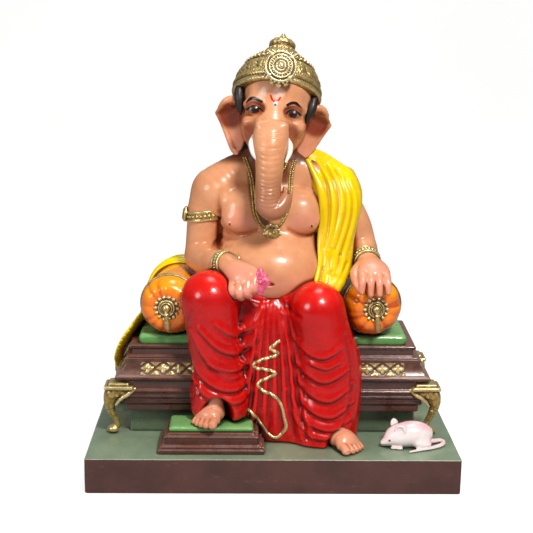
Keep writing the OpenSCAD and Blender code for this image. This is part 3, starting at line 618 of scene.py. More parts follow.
def sculpt_head():
    c = Clay((-54, -64, 206), (50, 44, 342), 0.75)
    rows = [[-12, 0, 12, -12, 20], [-6, 0, 18, -22, 26], [2, 0, 23, -27, 31], [10, 0, 26.5, -27, 35],
            [18, 0, 28.5, -26, 37], [28, 0, 29.5, -26.5, 38], [38, 0, 30, -27.5, 37],
            [50, 0, 28.5, -27, 35], [60, 0, 22, -20, 30], [68, 0, 12, -8, 20]]

    c.add(head_form(rows, (-36, -30, -16), (42, 40, 72)))
    # muzzle that carries the trunk, the bridge between the eyes, and the cheekbones
    c.add(tube([[-1, -20, 312, 9, 7], [-2.2, -26, 300, 10, 8], [-3.4, -30, 291, 13, 9],
                [-4.4, -33.5, 278, 13.6, 11], [-4.8, -37.5, 270, 13.2, 11.5]]), 4)
    c.add(block((-3.6, -28.5, 283.5), (13.4, 12, 10.5), (14, 2, 0), 4), 1.8)
    c.add(ball((-18, -19.5, 288), (10, 6.5, 6), (0, 10, 0)), 7)
    c.add(ball((14.5, -19.5, 285), (10, 6.5, 6), (0, -4, 0)), 7)
    # brow ridges and forehead
    c.add(tube([[-23, -17, 303, 3.2], [-17, -21, 306.5, 4.6], [-9, -23.5, 305, 4.4]]), 5)
    c.add(tube([[8, -24, 303, 4.4], [15, -21.5, 302.5, 4.6], [21.5, -16.5, 298.5, 3.2]]), 5)
    c.add(ball((0, -16, 312), (20, 12, 14)), 6)
    # hollow cheeks beside the muzzle
    c.cut(ball((-23, -30.5, 279), (6, 7.5, 10), (0, 8, 0)), 4)
    c.cut(ball((14.8, -31, 277), (6, 7.5, 10), (0, -8, 0)), 4)
    # sockets and eyeballs
    for x, z, tilt in ((-17, 299.6, 6), (13.8, 296.2, 8)):
        c.cut(ball((x, -29.5, z + 0.6), (8.2, 6.2, 5.4), (0, tilt, 0)), 2.5)
        c.add(ball((x, -21.2, z - 0.2), (6.2, 5.4, 4.6), (0, tilt, 0)), 0.8)
    c.stroke(in_view(-24.5, 299.5, -20.5, 302.6, -16, 303.2, -11.2, 300), 1.1, 0.75, 1.0)
    c.stroke(in_view(-24, 298, -20, 295.4, -15.5, 295, -11, 297.4), 1.0, 0.45, 1.0)
    c.stroke(in_view(7.8, 297.8, 11.6, 300.3, 16.4, 299.8, 21.2, 295.4), 1.1, 0.75, 1.0)
    c.stroke(in_view(8, 295, 11.8, 292.2, 16.4, 291.6, 20.8, 293.6), 1.0, 0.45, 1.0)
    # trunk: down the chest, then curling up to the viewer's right
    c.add(tube([[-4.2, -36, 280, 13.6, 11.5], [-4.8, -40.5, 271, 13.0, 11.5],
                [-5.0, -43, 261, 11.4, 10.6], [-5.4, -44.5, 250, 10.6, 10.0], [-6.0, -46, 240, 10.2, 9.6],
                [-6.2, -47.5, 231, 10.2, 9.4]]), 3)
    # the bend swings forward and up into the curl
    c.add(tube([[-6.2, -47.5, 234, 9.6, 9.4], [-5.6, -49, 227, 9.2, 10.2], [-2.2, -50, 223.2, 8.6, 9.0],
                [2.6, -49.2, 224.6, 8.2, 7.6], [6.2, -48, 229.2, 6.6, 6.2], [8.6, -46.5, 234.2, 4.4, 4.4]],
               side=(0, 1, 0)), 2)
    tip = vec(9.4, -46, 236.6)
    c.add(ball(tip + vec(-1.2, -0.5, 0.8), (2.6, 2.6, 2.6)), 1.2)
    c.add(ball(tip + vec(-2.4, -0.5, 2.8), (1.5, 1.7, 2.2), (0, -20, 0)), 1.0)
    c.cut(ball(tip + vec(1.0, -3.2, 0.4), (1.2, 2.0, 1.5)), 0.6)
    # wrinkles across the trunk
    for z, w, deep in ((283, 9, 0.35), (280.5, 10, 0.5), (272, 9, 0.3), (266, 8, 0.3), (262, 8, 0.35),
                       (257, 7.4, 0.3), (252, 7.2, 0.3), (247, 6.6, 0.4), (244, 6.4, 0.4),
                       (241, 7.6, 0.4), (238, 7.6, 0.4), (235, 7.6, 0.4), (232, 7.6, 0.4), (229, 7.4, 0.4),
                       (226, 7, 0.35)):
        x = -4.6 - (272 - z) * 0.03 * (z < 272)
        c.stroke([[x - w, 0, z + 1.2], [x - w * 0.5, 0, z + 0.1], [x, 0, z - 0.3],
                  [x + w * 0.5, 0, z + 0.1], [x + w, 0, z + 1.2]], 0.7, -deep * 0.6, 0.9, start=70)
    # smile line under the cheekbone and the jaw behind the tusks
    c.add(ball((-15.5, -27, 268), (5, 6, 5)), 3)
    c.add(ball((7.5, -28, 266.5), (5, 6, 5)), 3)
    ear_sheets(c)
    return c


def ear_sheets(c):
    """Ears: curved sheets with a rolled upper edge and a hollow under it."""
    right_of_figure = [[-29, 304], [-35, 308], [-41, 306.5], [-45.5, 300], [-48.8, 294.5],
                       [-44.5, 288.5], [-41, 283], [-38, 273], [-34.5, 263], [-31.5, 260.5],
                       [-26.5, 266], [-24, 276], [-25, 290]]
    left_of_figure = [[26, 299], [33, 301], [39.8, 300.5], [43, 293.5], [46.2, 284.5], [43, 280.5],
                      [38, 275.5], [33.5, 267.5], [28.5, 260.5], [21.5, 253.8], [17.5, 257],
                      [18, 267], [22, 282]]
    for outline, s, root_x, top in ((right_of_figure, -1, -28, 300), (left_of_figure, 1, 25, 293)):
        def middle(x, z, s=s, root_x=root_x, top=top):
            out = np.clip((x - root_x) * s, 0, 30)
            roll = np.exp(-((z - top + out * 0.45 - 6) / 5.0) ** 2)
            return 2 + 0.28 * out - 5.5 * roll * step_up(2, 8, out)
        c.add(leaf(outline, middle, 3.4, 1.6, (-12, 16)), 1.6)
    # rolled top edges and the hollow beneath them
    c.add(tube([[-30, -2, 303.5, 3.4, 3], [-35, -3, 305.5, 3.6, 3], [-40.5, -2, 303.6, 3.2, 2.8],
                [-44.5, 1, 298.8, 2.4, 2.2]]), 1.6)
    c.add(tube([[27, -2, 297.5, 3.2, 3], [33, -3, 299, 3.6, 3], [38.6, -2, 297.8, 3.2, 2.8],
                [42, 1, 293, 2.4, 2.2]]), 1.6)
    c.add(tube([[-47.5, 5, 294, 1.8], [-43.5, 4, 286, 1.8], [-39.5, 3, 276, 1.8], [-35, 2, 265, 2],
                [-31.5, 1, 261.5, 2.2]]), 1.2)
    c.add(tube([[45, 5, 284.5, 1.8], [39.5, 4, 277, 1.8], [33.5, 3, 268, 1.8], [27, 2, 260, 2],
                [21.5, 1, 255, 2.2]]), 1.2)
    c.cut(ball((-36.5, -6.5, 295), (7, 6, 5.5), (0, 35, 0)), 2)
    c.cut(ball((34.5, -6.5, 289), (7, 6, 5.5), (0, -35, 0)), 2)


# ---------------------------------------------------------------- dhoti
def sculpt_dhoti(body):
    c = Clay((-86, -86, DECK - 0.4), (82, 48, 182), 1.05)
    c.add(stack([[112, -2, 47, -26, 42], [124, -2, 50, -32, 42], [136, -2, 51, -36, 42],
                 [146, -2, 49.5, -37, 39], [153, -2, 47, -33, 36], [158, -2, 44, -24, 33]]))
    # right thigh and the leg under it
    c.add(tube([[-28, 10, 134, 22, 20], [-38, -18, 143, 22, 21.5], [-48, -40, 149, 22, 22],
                [-52.5, -52, 151.5, 21.5, 21.5]]), 6)
    c.add(tube([[-52, -54, 151, 21.5, 20.5], [-50.5, -57, 136, 21.5, 19], [-48.5, -58, 118, 20.5, 17.5],
                [-46, -57.5, 100, 19.5, 16.5], [-44.5, -57, 84, 20, 16.5], [-44, -56.5, 70, 21.5, 16.5],
                [-44.5, -56, 61, 22.5, 16]]), 7)
    # left thigh and leg
    c.add(tube([[24, 10, 132, 22, 20], [29, -18, 138, 22, 21], [33, -38, 141, 21.5, 21.5],
                [34.5, -47, 142, 21, 21]]), 6)
    c.add(tube([[35, -49, 141, 20.5, 19.5], [39, -51, 126, 22, 18.5], [43.5, -52, 106, 23, 17.5],
                [46, -51.5, 84, 22.5, 17], [45.5, -51, 62, 22.5, 16.5], [43.5, -50, 44, 24, 17],
                [42.5, -49, 27, 26, 17.5]]), 7)
    # cloth outside the left leg, and the pleats between the knees
    c.add(tube([[58, -30, 118, 7, 15], [66, -34, 96, 7, 15], [67, -36, 72, 7, 14], [64, -38, 48, 8, 14],
                [58, -38, 28, 10, 14]]), 9)
    c.add(tube([[-1, -30, 150, 15, 10], [-1, -38, 136, 16, 10], [0, -42, 114, 18, 9.5],
                [1, -43.5, 86, 20, 9.5], [5, -43.5, 56, 24, 10], [9, -43, 27, 30, 10]]), 7)
    c.add(tube([[-20, -34, 152, 16, 10], [-17, -41, 128, 15, 10], [-16, -43.5, 100, 15, 10],
                [-15, -44, 72, 15, 10], [-13, -43.5, 56, 12, 9]]), 6)
    c.add(tube([[15, -34, 148, 14, 10], [17, -41, 122, 14, 10], [20, -43.5, 92, 14, 10],
                [22, -43.5, 58, 16, 10], [24, -43, 28, 20, 10]]), 6)
    # flare of the hem behind the right foot
    c.add(tube([[-60, -46, 74, 8, 9], [-55, -44, 64, 12, 9], [-36, -42, 60, 14, 9],
                [-22, -44, 54, 12, 9]]), 7)
    # back of the skirt, spread over the seat
    c.add(stack([[115, -2, 52, 10, 44], [121, -2, 53, 8, 45], [128, -2, 50, 6, 43]]), 6)
    dhoti_folds(c)
    # openings: over the right foot, and under the hem of the left leg
    c.cut(ball((-46, -77, 52), (15.5, 25, 23), (0, 4, 0)), 3)
    c.cut(ball((-46, -60, 55), (11, 12, 14)), 3)
    c.cut(block((-50, -58, 34), (30, 60, 17), rounded=2), 2)
    c.cut(ball((57, -72, 30), (14, 20, 15)), 3)
    c.cut(block((0, 0, DECK - 12), (140, 120, 12.2), rounded=0.1))
    c.carve(body, 0.15)
    return c


def dhoti_folds(c):
    """Long slack swags, each a ridge with a groove under it, and pleats between the knees."""
    def swag(path, width, drop, deep):
        c.stroke(path, width, deep * 0.4, 3.5, taper=0.1)
        c.stroke([[x, y, z - drop * 0.8] for x, y, z in path], width * 0.5, -deep * 0.5, 2.4, taper=0.1)
    # right leg: from the knee's outside, slack across the shin, up to the pleats
    for path, width, drop, deep in (
            (in_view(-47, 137, -34, 127, -21, 126, -12, 134, -8, 144), 3.0, 5.0, 1.6),
            (in_view(-60, 133, -46, 118, -29, 111, -16, 117, -9, 131), 3.4, 6.0, 2.2),
            (in_view(-67, 130, -56, 109, -38, 98, -21, 99, -11, 112), 3.4, 5.6, 2.4),
            (in_view(-70, 119, -62, 97, -45, 84, -26, 82, -13, 93), 3.6, 6.2, 2.6),
            (in_view(-70, 104, -62, 84, -46, 74, -28, 70, -14, 77), 3.2, 5.2, 2.2),
            (in_view(-52, 103, -38, 92, -26, 91), 2.4, 3.6, 1.3),
            (in_view(-66, 90, -58, 78, -46, 70, -33, 65), 2.6, 4.0, 1.4)):
        swag(path, width, drop, deep)
    c.stroke(in_view(-66, 146, -70, 128, -69, 108, -64, 90, -60, 76), 2.4, -1.1, 2.6)
    c.stroke(in_view(-34, 160, -22, 152, -11, 147.5, -3, 148), 2.8, -1.4, 2.6)
    # left leg: from the pleats down across the shin and up at the outer edge
    for path, width, drop, deep in (
            (in_view(8, 140, 14, 123, 26, 111, 40, 108, 54, 116), 3.0, 5.0, 1.8),
            (in_view(7, 128, 13, 108, 26, 93, 42, 88, 60, 98), 3.4, 6.0, 2.4),
            (in_view(8, 112, 15, 91, 29, 76, 46, 72, 64, 84), 3.6, 6.2, 2.6),
            (in_view(9, 95, 18, 73, 32, 61, 48, 58, 65, 69), 3.4, 5.8, 2.4),
            (in_view(11, 77, 21, 57, 35, 48, 49, 46.5, 63, 54), 3.0, 4.8, 2.1),
            (in_view(30, 101, 42, 98, 52, 103), 2.4, 3.4, 1.2),
            (in_view(14, 58, 25, 43, 38, 38, 50, 39), 2.6, 4.0, 1.6)):
        swag(path, width, drop, deep)
    c.stroke(in_view(57, 124, 62, 104, 63.5, 84, 61, 62, 56, 46), 2.6, -1.5, 2.6)
    c.stroke(in_view(63, 118, 67.5, 98, 69, 76, 66, 52), 3.0, 1.3, 2.6)
    c.stroke(in_view(1, 151, 9, 144, 20, 139), 2.6, -1.2, 2.6)
    # upright pleats that fan out downward
    for x0, x1 in ((-12, -22), (-8.5, -15), (-4.0, -7.0), (0.2, 1.5), (4.2, 9.5), (8.0, 17.5), (12, 25)):
        xm = x0 * 0.45 + x1 * 0.55
        c.stroke([[x0 * 0.6, 0, 150], [x0, 0, 134], [xm, 0, 100], [x1, 0, 62], [x1 * 1.3, 0, 36]],
                 1.9, 0.75, 2.2, start=80, taper=0.6)
    for x0, x1 in ((-10.2, -18.5), (-6.3, -11), (-1.9, -3.0), (2.2, 5.4), (6.0, 13.5), (10.0, 21)):
        xm = x0 * 0.45 + x1 * 0.55
        c.stroke([[x0 * 0.6, 0, 149], [x0, 0, 134], [xm, 0, 100], [x1, 0, 62], [x1 * 1.3, 0, 36]],
                 1.5, -1.05, 1.7, start=80, taper=0.6)
    # sides and back, where the skirt is tucked over the seat
    for s in (-1, 1):
        for k in range(4):
            z = 146 - k * 8
            c.stroke([[s * 60, -34 + k * 2, z], [s * 60, -16, z - 3], [s * 60, 4, z - 9],
                      [s * 60, 26, z - 15]], 2.4, -1.3, 2.2, toward=(-s, 0, 0), start=50)
    for k in range(7):
        x = -36 + k * 11.5
        c.stroke([[x, 50, 151], [x * 1.06 + 1, 50, 140], [x * 1.12 + 2, 50, 126], [x * 1.18, 50, 118]],
                 2.2, -1.2, 2.0, toward=(0, -1, 0), start=50)


HEM_PATH = [[4.5, 116], [0.5, 113], [-2.8, 109.5], [0.5, 107.6], [3.4, 105.6], [-1, 103],
            [-9, 101], [-15.5, 97.6], [-15.2, 94.4], [-6, 92.4], [1.4, 89.6], [-2, 86.6],
            [-9, 83.4], [-12.6, 80.2], [-9, 75], [-1, 71], [3.4, 67.4], [7.4, 60], [9.2, 52],
            [10.9, 44], [8, 38], [2.8, 33.8], [-3.6, 36.5], [-8.9, 44], [-14, 51.5], [-20.5, 58.5]]


def sculpt_hem(dhoti):
    """Gold edging that zigzags down the pleats and round the hem."""
    c = Clay((-27, -74, DECK), (18, -34, 122), 0.5)
    path = [[x, 0, z] for x, z in HEM_PATH]
    dense = smoothed(path, 10)
    p = dhoti.snap(dense, start=80)
    n = dhoti.slope(p)
    along = np.concatenate([[0], np.cumsum(np.linalg.norm(np.diff(p, axis=0), axis=1))])
    bead = 1.2 + 0.05 * np.sin(along * 2 * math.pi / 2.1)
    c.add(tube(np.hstack([p + n * 0.1, bead[:, None]]), steps=1), 0.6)
    for k in (-1, 1):
        side = np.cross(np.gradient(p, axis=0), n)
        side /= np.linalg.norm(side, axis=1, keepdims=True) + 1e-9
        c.add(tube(np.hstack([p + n * 0.3 + side * 1.1 * k, np.full((len(p), 1), 0.45)]), steps=1), 0.4)
    c.carve(dhoti, -0.6)
    return c


# ---------------------------------------------------------------- shawl
def sculpt_shawl_front(body):
    c = Clay((16, -60, 138), (80, 36, 268), 0.8)
    # cloth over the shoulder and down the chest's side to the bolster
    c.add(tube([[26, 8, 259, 9, 6], [38, 4, 250, 14, 6.5], [49, -4, 238, 19, 8], [54, -9, 224, 18.5, 9],
                [53, -12, 208, 16.5, 9.5], [51, -15, 192, 15, 9.5], [50.5, -19, 176, 14.5, 9],
                [47, -26, 164, 12, 7.5], [42, -33, 156, 8, 5], [38.5, -38, 151.5, 3.5, 3]],
               side=(1, 0.1, 0)), 2)
    c.add(tube([[60, 14, 240, 9, 14], [66, 10, 228, 8, 15], [66.5, 4, 212, 6.5, 12], [62, -2, 196, 6, 10],
                [60, -8, 180, 5.5, 9], [59, -16, 168, 5, 8]], side=(1, 0, 0)), 4)
    c.add(tube([[58, -20, 168, 5, 7], [52, -28, 160, 6, 6], [47.5, -33, 152, 5, 5], [46, -35, 146, 3, 3.5]],
               side=(1, 0, 0)), 4)
    ridges = [
        (in_view(29, 256, 37, 240, 40.5, 224, 41, 206, 40, 190, 41, 174), 2.6, 1.5),
        (in_view(36, 255, 45, 240, 48, 222, 46.5, 204, 43.5, 188, 44, 170), 2.8, 1.6),
        (in_view(45, 252, 53, 238, 55.5, 222, 52, 204, 47.5, 188, 47, 172), 2.8, 1.6),
        (in_view(54, 246, 60, 232, 61, 216, 57, 200, 52, 186, 50, 168), 2.6, 1.5),
        (in_view(62, 240, 66, 226, 65.5, 210, 61, 194, 57, 180, 54, 166), 2.4, 1.3),
    ]
    for path, w, h in ridges:
        c.stroke(path, w, h * 0.55, 2.6, start=80)
    grooves = [
        (in_view(33, 254, 41, 240, 44.5, 223, 43.8, 205, 41.8, 189), 2.0, -1.4),
        (in_view(41, 252, 49.5, 238, 52, 222, 49.5, 204, 45.5, 188), 2.0, -1.5),
        (in_view(50, 249, 57, 235, 58.5, 219, 54.6, 202, 49.8, 187), 2.0, -1.5),
        (in_view(58, 242, 63.5, 228, 63.2, 213, 59.2, 197, 54.6, 183), 1.8, -1.3),
        (in_view(47, 186, 45, 174, 46, 163, 42, 155), 1.8, -1.2),
        (in_view(54, 182, 51, 170, 49, 160, 44, 152), 1.8, -1.2),
        (in_view(60, 176, 56, 168, 51, 158, 46, 150), 1.6, -1.1),
    ]
    for path, w, h in grooves:
        c.stroke(path, w, h * 0.6, 2.2, start=80)
    # rolled edge along the chest
    c.add(tube([[27.5, -3, 256, 2.2], [35, -10.5, 240, 2.4], [38.6, -15.5, 224, 2.4],
                [38.4, -17, 208, 2.4], [37.6, -20, 192, 2.2], [37.4, -26, 176, 2.2],
                [34.5, -33, 163, 2.2], [32.8, -37, 157, 1.8]]), 2)
    c.carve(body, -1.4)
    return c


def sculpt_shawl_back(body):
    c = Clay((-66, 10, 120), (80, 52, 262), 0.9)
    rows = [[54, 16, 236, 16, 8], [46, 31, 222, 17, 7.5], [34, 35.5, 204, 18, 7], [18, 36, 187, 18, 6.5],
            [0, 36, 172, 17, 6.5], [-18, 36, 160, 16, 6.5], [-36, 34, 150, 14, 6.5], [-52, 32, 145, 11, 7]]
    c.add(tube(rows, side=(0.62, 0, 0.78)), 2)
    c.add(tube([[30, 14, 256, 8, 7], [44, 22, 244, 12, 8], [56, 24, 232, 12, 9]], side=(0.7, 0.2, 0.6)), 5)
    for shift in (-11.5, -6.5, -1.5, 3.5, 8.5, 13):
        u = shift * 0.62
        w = shift * 0.78
        c.stroke([[54 + u, 90, 234 + w], [44 + u, 90, 220 + w], [32 + u, 90, 203 + w],
                  [16 + u * 0.95, 90, 186 + w * 0.95], [-2 + u * 0.9, 90, 171 + w * 0.9],
                  [-20 + u * 0.8, 90, 159 + w * 0.8], [-38 + u * 0.7, 90, 149.5 + w * 0.7]],
                 2.0, -1.5, 1.8, toward=(0, -1, 0), start=20)
    c.carve(body, -2.0)
    return c


def sculpt_shawl_tail(bolster_at):
    c = Clay((-148, -26, 64), (-40, 52, 178), 0.8)
    c.add(tube([[-46, 30, 148, 10, 5], [-56, 28, 156, 11, 5], [-68, 27, 163, 12, 4.5],
                [-82, 27, 165, 13, 4], [-94, 27, 159.5, 13, 4], [-101.5, 27, 149, 13, 3.4],
                [-104.5, 27, 137, 14, 3.0], [-106, 23, 127, 16, 3.0], [-109.5, 12, 119.5, 20, 2.8],
                [-116, 3, 112.5, 22, 2.8], [-122.5, 0, 104, 20, 2.6], [-127.5, 2, 94, 14, 2.4],
                [-131, 8, 84, 8, 2.2], [-133, 12, 76, 4, 2]], side=(0.3, 1, 0)), 1.5)
    for y in (-2, 4.5, 11, 17.5, 24, 30):
        c.stroke([[-58, y * 0.6 + 10, 200], [-74, y, 200], [-92, y, 200], [-106, y, 200]],
                 1.9, -1.2, 1.7, toward=(0, 0, -1), start=0)
        c.stroke([[-160, y, 140], [-160, y - 1.6, 126], [-160, y - 3, 112], [-160, 8 + (y - 14) * 0.7, 98],
                  [-160, 10 + (y - 14) * 0.4, 84]], 1.8, -1.2, 1.7, toward=(1, 0, 0), start=0)
    c.cut(tube([[*bolster_at[0], 24.3], [*bolster_at[1], 24.3]], steps=1), 0.5)
    return c


# ---------------------------------------------------------------- hair and crown
def sculpt_hair(head):
    c = Clay((-52, -28, 236), (48, 50, 334), 0.85)
    rows = [[-26, 0, 15, 18, 38], [-18, 0, 24, 10, 43], [-6, 0, 29.5, 2, 45], [6, 0, 32, -4, 45.5],
            [16, 0, 33, -12, 44.5], [26, 0, 33.5, -17, 43], [36, 0, 33.5, -19.5, 41],
            [46, 0, 32, -20, 38], [54, 0, 26, -14, 33]]

    def locks(u, v, w):
        return (0.55 * np.abs(np.sin(np.arctan2(u, v) * 15 + 0.9 * np.sin(w * 0.13)))
                + 0.2 * np.sin(np.arctan2(u, v) * 41 + w * 0.2))
    # combed locks run down the back
    c.add(head_form(rows, (-42, -24, -30), (46, 50, 66), locks))
    c.cut(block((-2, -30, 262), (24, 26, 24), (0, ROLL, 0), 6), 4)
    # locks at the temples, in front of the ears
    c.add(tube([[-29.5, -8, 314, 3.6], [-29.6, -10.5, 307, 3.9], [-28.8, -11.5, 300, 3.0],
                [-27.8, -11, 294.5, 1.1]]), 1.5)
    c.add(tube([[31, -9, 306, 3.6], [29.2, -12, 300, 4.0], [26.8, -13.5, 294, 3.0],
                [24.8, -14, 288.5, 1.1]]), 1.5)
    for x in (-22, -13, -4, 5, 14):
        c.add(tube([[x - 2, 34, 262, 6, 5], [x - 3, 37, 252, 5.4, 4.6], [x - 4, 36, 243, 3.4, 3.2],
                    [x - 5, 33, 238, 1.4, 1.4]]), 2.5)
    c.carve(head, 0.1)
    return c


def crown_form(rows, relief=None):
    """Form turned about the crown's axis from [radius, z]; relief(angle, z) stands proud of it."""
    rows = np.array(rows, float)
    rows[:, 1] += 0.01 * np.arange(len(rows))

    def field(xs, ys, zs, reach):
        u, v, w = local((xs, ys, zs), CROWN, CROWN_TURN)
        r = np.sqrt(u * u + v * v)
        low, high = rows[:, 1].min(), rows[:, 1].max()
        z = np.clip(w, low, high)
        edge = np.interp(z, rows[:, 1], rows[:, 0])
        slant = np.abs(np.gradient(rows[:, 0], rows[:, 1]))
        lean = 1 / np.sqrt(1 + np.interp(z, rows[:, 1], np.minimum(slant, 2.5)) ** 2)
        d = (r - edge) * lean
        if relief is not None:
            d = d - relief(np.arctan2(u, -v), w, r)
        ends = np.maximum(low - w, w - high)
        return capped(d, ends)
    pad, top = rows[:, 0].max() + 4, rows[:, 1].max()
    return Form(CROWN + vec(-pad - 3, -pad, -18), CROWN + vec(pad + 10, pad + 20, top + 16), field)


def crown_relief(angle, w, r):
    """Leaf scrolls round the band, with a bead line above and below."""
    a = angle * 10 / math.pi
    cell = (a % 1) - 0.5
    h = (w - 17) / 6.2
    leaf_shape = np.clip(1 - (np.abs(cell) * 2.2) ** 2 - (h * 1.05) ** 2, 0, 1) ** 0.5
    vein = np.clip(1 - np.abs(cell) * 12, 0, 1) * (np.abs(h) < 0.8)
    half = ((a + 0.5) % 1) - 0.5
    between = np.clip(1 - (np.abs(half) * 3.4) ** 2 - ((h - 0.6) * 2.2) ** 2, 0, 1) ** 0.5
    curls = 0.4 * np.clip(np.sin(a * 4 * math.pi + h * 5) * np.sin(h * 7), 0, 1)
    beads = 0.6 * np.abs(np.sin(a * 4.5 * math.pi)) * (np.abs(w - 10.6) < 0.9)
    return (np.abs(w - 17) < 6.4) * (1.2 * leaf_shape - 0.6 * vein + 0.8 * between + curls) + beads


def sculpt_crown_rim():
    """Two rolls round the brow, open underneath where the head goes in."""
    c = Clay((-46, -44, 286), (54, 56, 336), 0.75)
    c.add(crown_form([[30, -0.6], [35, -0.2], [36.6, 0.8], [37.0, 2.4], [36.4, 3.8], [35.7, 4.6],
                      [36.5, 5.6], [36.9, 7.0], [36.2, 8.6], [35, 9.6], [28, 10]],
                     lambda a, w, r: 0.14 * np.sin(a * 90 + w * 1.5)))
    return c


def sculpt_crown():
    c = Clay((-46, -44, 290), (54, 60, 364), 0.6)
    c.add(crown_form([[35.4, 8], [35.0, 10.4], [33.6, 15], [31.4, 19.4], [29.4, 23], [28.2, 24],
                      [28.8, 25.2], [28.2, 27.0], [25.8, 28.4], [22.4, 30], [22.6, 31.4], [20.8, 33.4],
                      [17.0, 36.8], [14.4, 38.4], [12, 40]], crown_relief))
    # stepped top with its knob
    c.add(crown_form([[13.6, 38.6], [13.0, 41.0], [10.8, 43.0], [9.8, 45.0], [10.8, 46.6], [10.2, 48.6],
                      [8.4, 50.6], [5.6, 52.2], [3.4, 53.2]],
                     lambda a, w, r: 0.6 * np.abs(np.sin(a * 6)) * (w > 44.6) * (w < 51)), 0.8)
    c.add(ball(in_crown(0, 0, 54.4), (3.1, 3.1, 1.8), CROWN_TURN), 0.6)
    c.add(ball(in_crown(0, 0, 56.6), (1.8, 1.8, 1.8)), 0.5)
    for count, r, w, size in ((44, 28.6, 26.0, 1.15), (34, 22.2, 32.0, 1.0), (22, 13.2, 40.2, 0.9)):
        for a in angles(count):
            c.add(ball(in_crown(r * math.sin(a), -r * math.cos(a), w), size), 0.4)
    # leaves that stand up either side of the plaque
    for side in (-1, 1):
        for a, w, long in ((0.50, 17.5, 5.2), (0.72, 16.5, 4.6), (0.62, 22.5, 3.6)):
            r = 32.4 - (w - 15) * 0.66
            p = in_crown(r * math.sin(side * a), -r * math.cos(a), w)
            c.add(ball(p, (2.4, 1.6, long), (-45, ROLL + side * 26, 0)), 1.0)
    return c


def sculpt_medallion():
    """Round plaque on the crown's front: rings, beads, corner leaves and a crest below."""
    at, tilt = vec(3.0, -34.6, 334.0), (76, ROLL, 0)
    c = Clay((-16, -44, 312), (22, -16, 352), 0.5)
    m = turning(tilt)

    def on(u, v, w):
        return at + m @ vec(u, v, w)
    c.add(ball(on(0, 0, -2), (12.6, 12.6, 6.0), tilt))
    c.cut(block(on(0, 0, -12), (16, 16, 6), tilt, 0.4), 0.4)
    for r, bead, w in ((11.6, 0.95, 1.5), (9.0, 0.6, 2.8), (6.2, 0.7, 3.5), (3.6, 0.5, 3.9)):
        c.add(ring(on(0, 0, w), r, bead, tilt), 0.4)
    for a in angles(24):
        c.add(ball(on(12.6 * math.cos(a), 12.6 * math.sin(a), 0.6), 1.15), 0.4)
        c.add(ball(on(7.6 * math.cos(a), 7.6 * math.sin(a), 3.3), 0.6), 0.3)
    c.add(ball(on(0, 0, 3.9), (2.4, 2.4, 1.5), tilt), 0.4)
    for k in range(4):
        a = math.pi / 4 + k * math.pi / 2
        c.add(tube([[*on(11.2 * math.cos(a), 11.2 * math.sin(a), 0.2), 2.4],
                    [*on(14.8 * math.cos(a), 14.8 * math.sin(a), 0), 0.9]]), 0.6)
    # crest under the plaque that dips onto the forehead
    for u, v, r in ((-9.6, -8.6, 2.1), (-5.4, -12.0, 2.4), (0, -13.4, 2.7), (5.4, -12.0, 2.4),
                    (9.6, -8.6, 2.1)):
        c.add(ball(on(u, v, -3.4), (r, r, 3.0), tilt), 0.8)
    return c


# ---------------------------------------------------------------- jewellery
def strand(path, clay, radius, pitch, lift=0.5, start=80):
    """Beads along a path laid on clay: their centres."""
    p = clay.snap(smoothed(path, 12), start=start)
    along = np.concatenate([[0], np.cumsum(np.linalg.norm(np.diff(p, axis=0), axis=1))])
    s = np.arange(0, along[-1], pitch)
    p = np.stack([np.interp(s, along, p[:, i]) for i in range(3)], 1)
    n = clay.slope(p)
    return p + n * radius * lift


def bead_mesh(centres, radii):
    """One mesh of small round beads at the centres."""
    n_around, levels = 8, 5
    q = np.linspace(0, 2 * math.pi, n_around, endpoint=False)
    t = np.linspace(-math.pi / 2, math.pi / 2, levels + 2)[1:-1]
    ball_points = [[math.cos(a) * math.cos(b), math.sin(a) * math.cos(b), math.sin(b)] for b in t for a in q]
    ball_points = np.array(ball_points + in_view(0, -1, 0, 1))
    quads, caps = [], []
    for j in range(levels - 1):
        for i in range(n_around):
            k = (i + 1) % n_around
            quads.append([j * n_around + i, j * n_around + k, (j + 1) * n_around + k, (j + 1) * n_around + i])
    low, high = levels * n_around, levels * n_around + 1
    for i in range(n_around):
        k = (i + 1) % n_around
        caps.append([k, i, low])
        caps.append([(levels - 1) * n_around + i, (levels - 1) * n_around + k, high])
    count = len(ball_points)
    points = np.concatenate([c + ball_points * r for c, r in zip(centres, radii)])
    shift = (np.arange(len(centres)) * count)[:, None, None]
    quads, caps = np.array(quads)[None] + shift, np.array(caps)[None] + shift
    return points, quads.reshape(-1, 4), caps.reshape(-1, 3)


LEFT_STRAND = in_view(-24.5, 258, -20.4, 247, -18.2, 236, -17, 224, -15.4, 214, -11, 206, -5.2, 202.5,
                      -1.9, 201.5)
RIGHT_STRAND = in_view(15.8, 256, 13.8, 246, 13.2, 234, 12, 224, 9.6, 216, 5.6, 208, 1.4, 203.4, -1.9,
                       201.5)


def build_necklaces(body):
    def chain(name, paths, radius, pitch, rows):
        centres, radii = [], []
        for path in paths:
            for shift in rows:
                moved = [[x + shift, y, z - abs(shift) * 0.3] for x, y, z in path]
                p = strand(moved, body, radius, pitch)
                centres.append(p)
                radii += [radius * (1 + 0.06 * math.sin(3.1 * i)) for i in range(len(p))]
        return mesh_object(name, *bead_mesh(np.vstack(centres), radii))
    long = chain("long_necklace_beads", [LEFT_STRAND, RIGHT_STRAND], 1.05, 1.7, (-1.0, 1.0))
    short = chain("short_necklace_beads", [in_view(-13.5, 256, -11, 250, -8, 246),
                                           in_view(4.5, 246, 8, 250, 10.5, 256)], 1.1, 1.8, (0,))
    return long, short


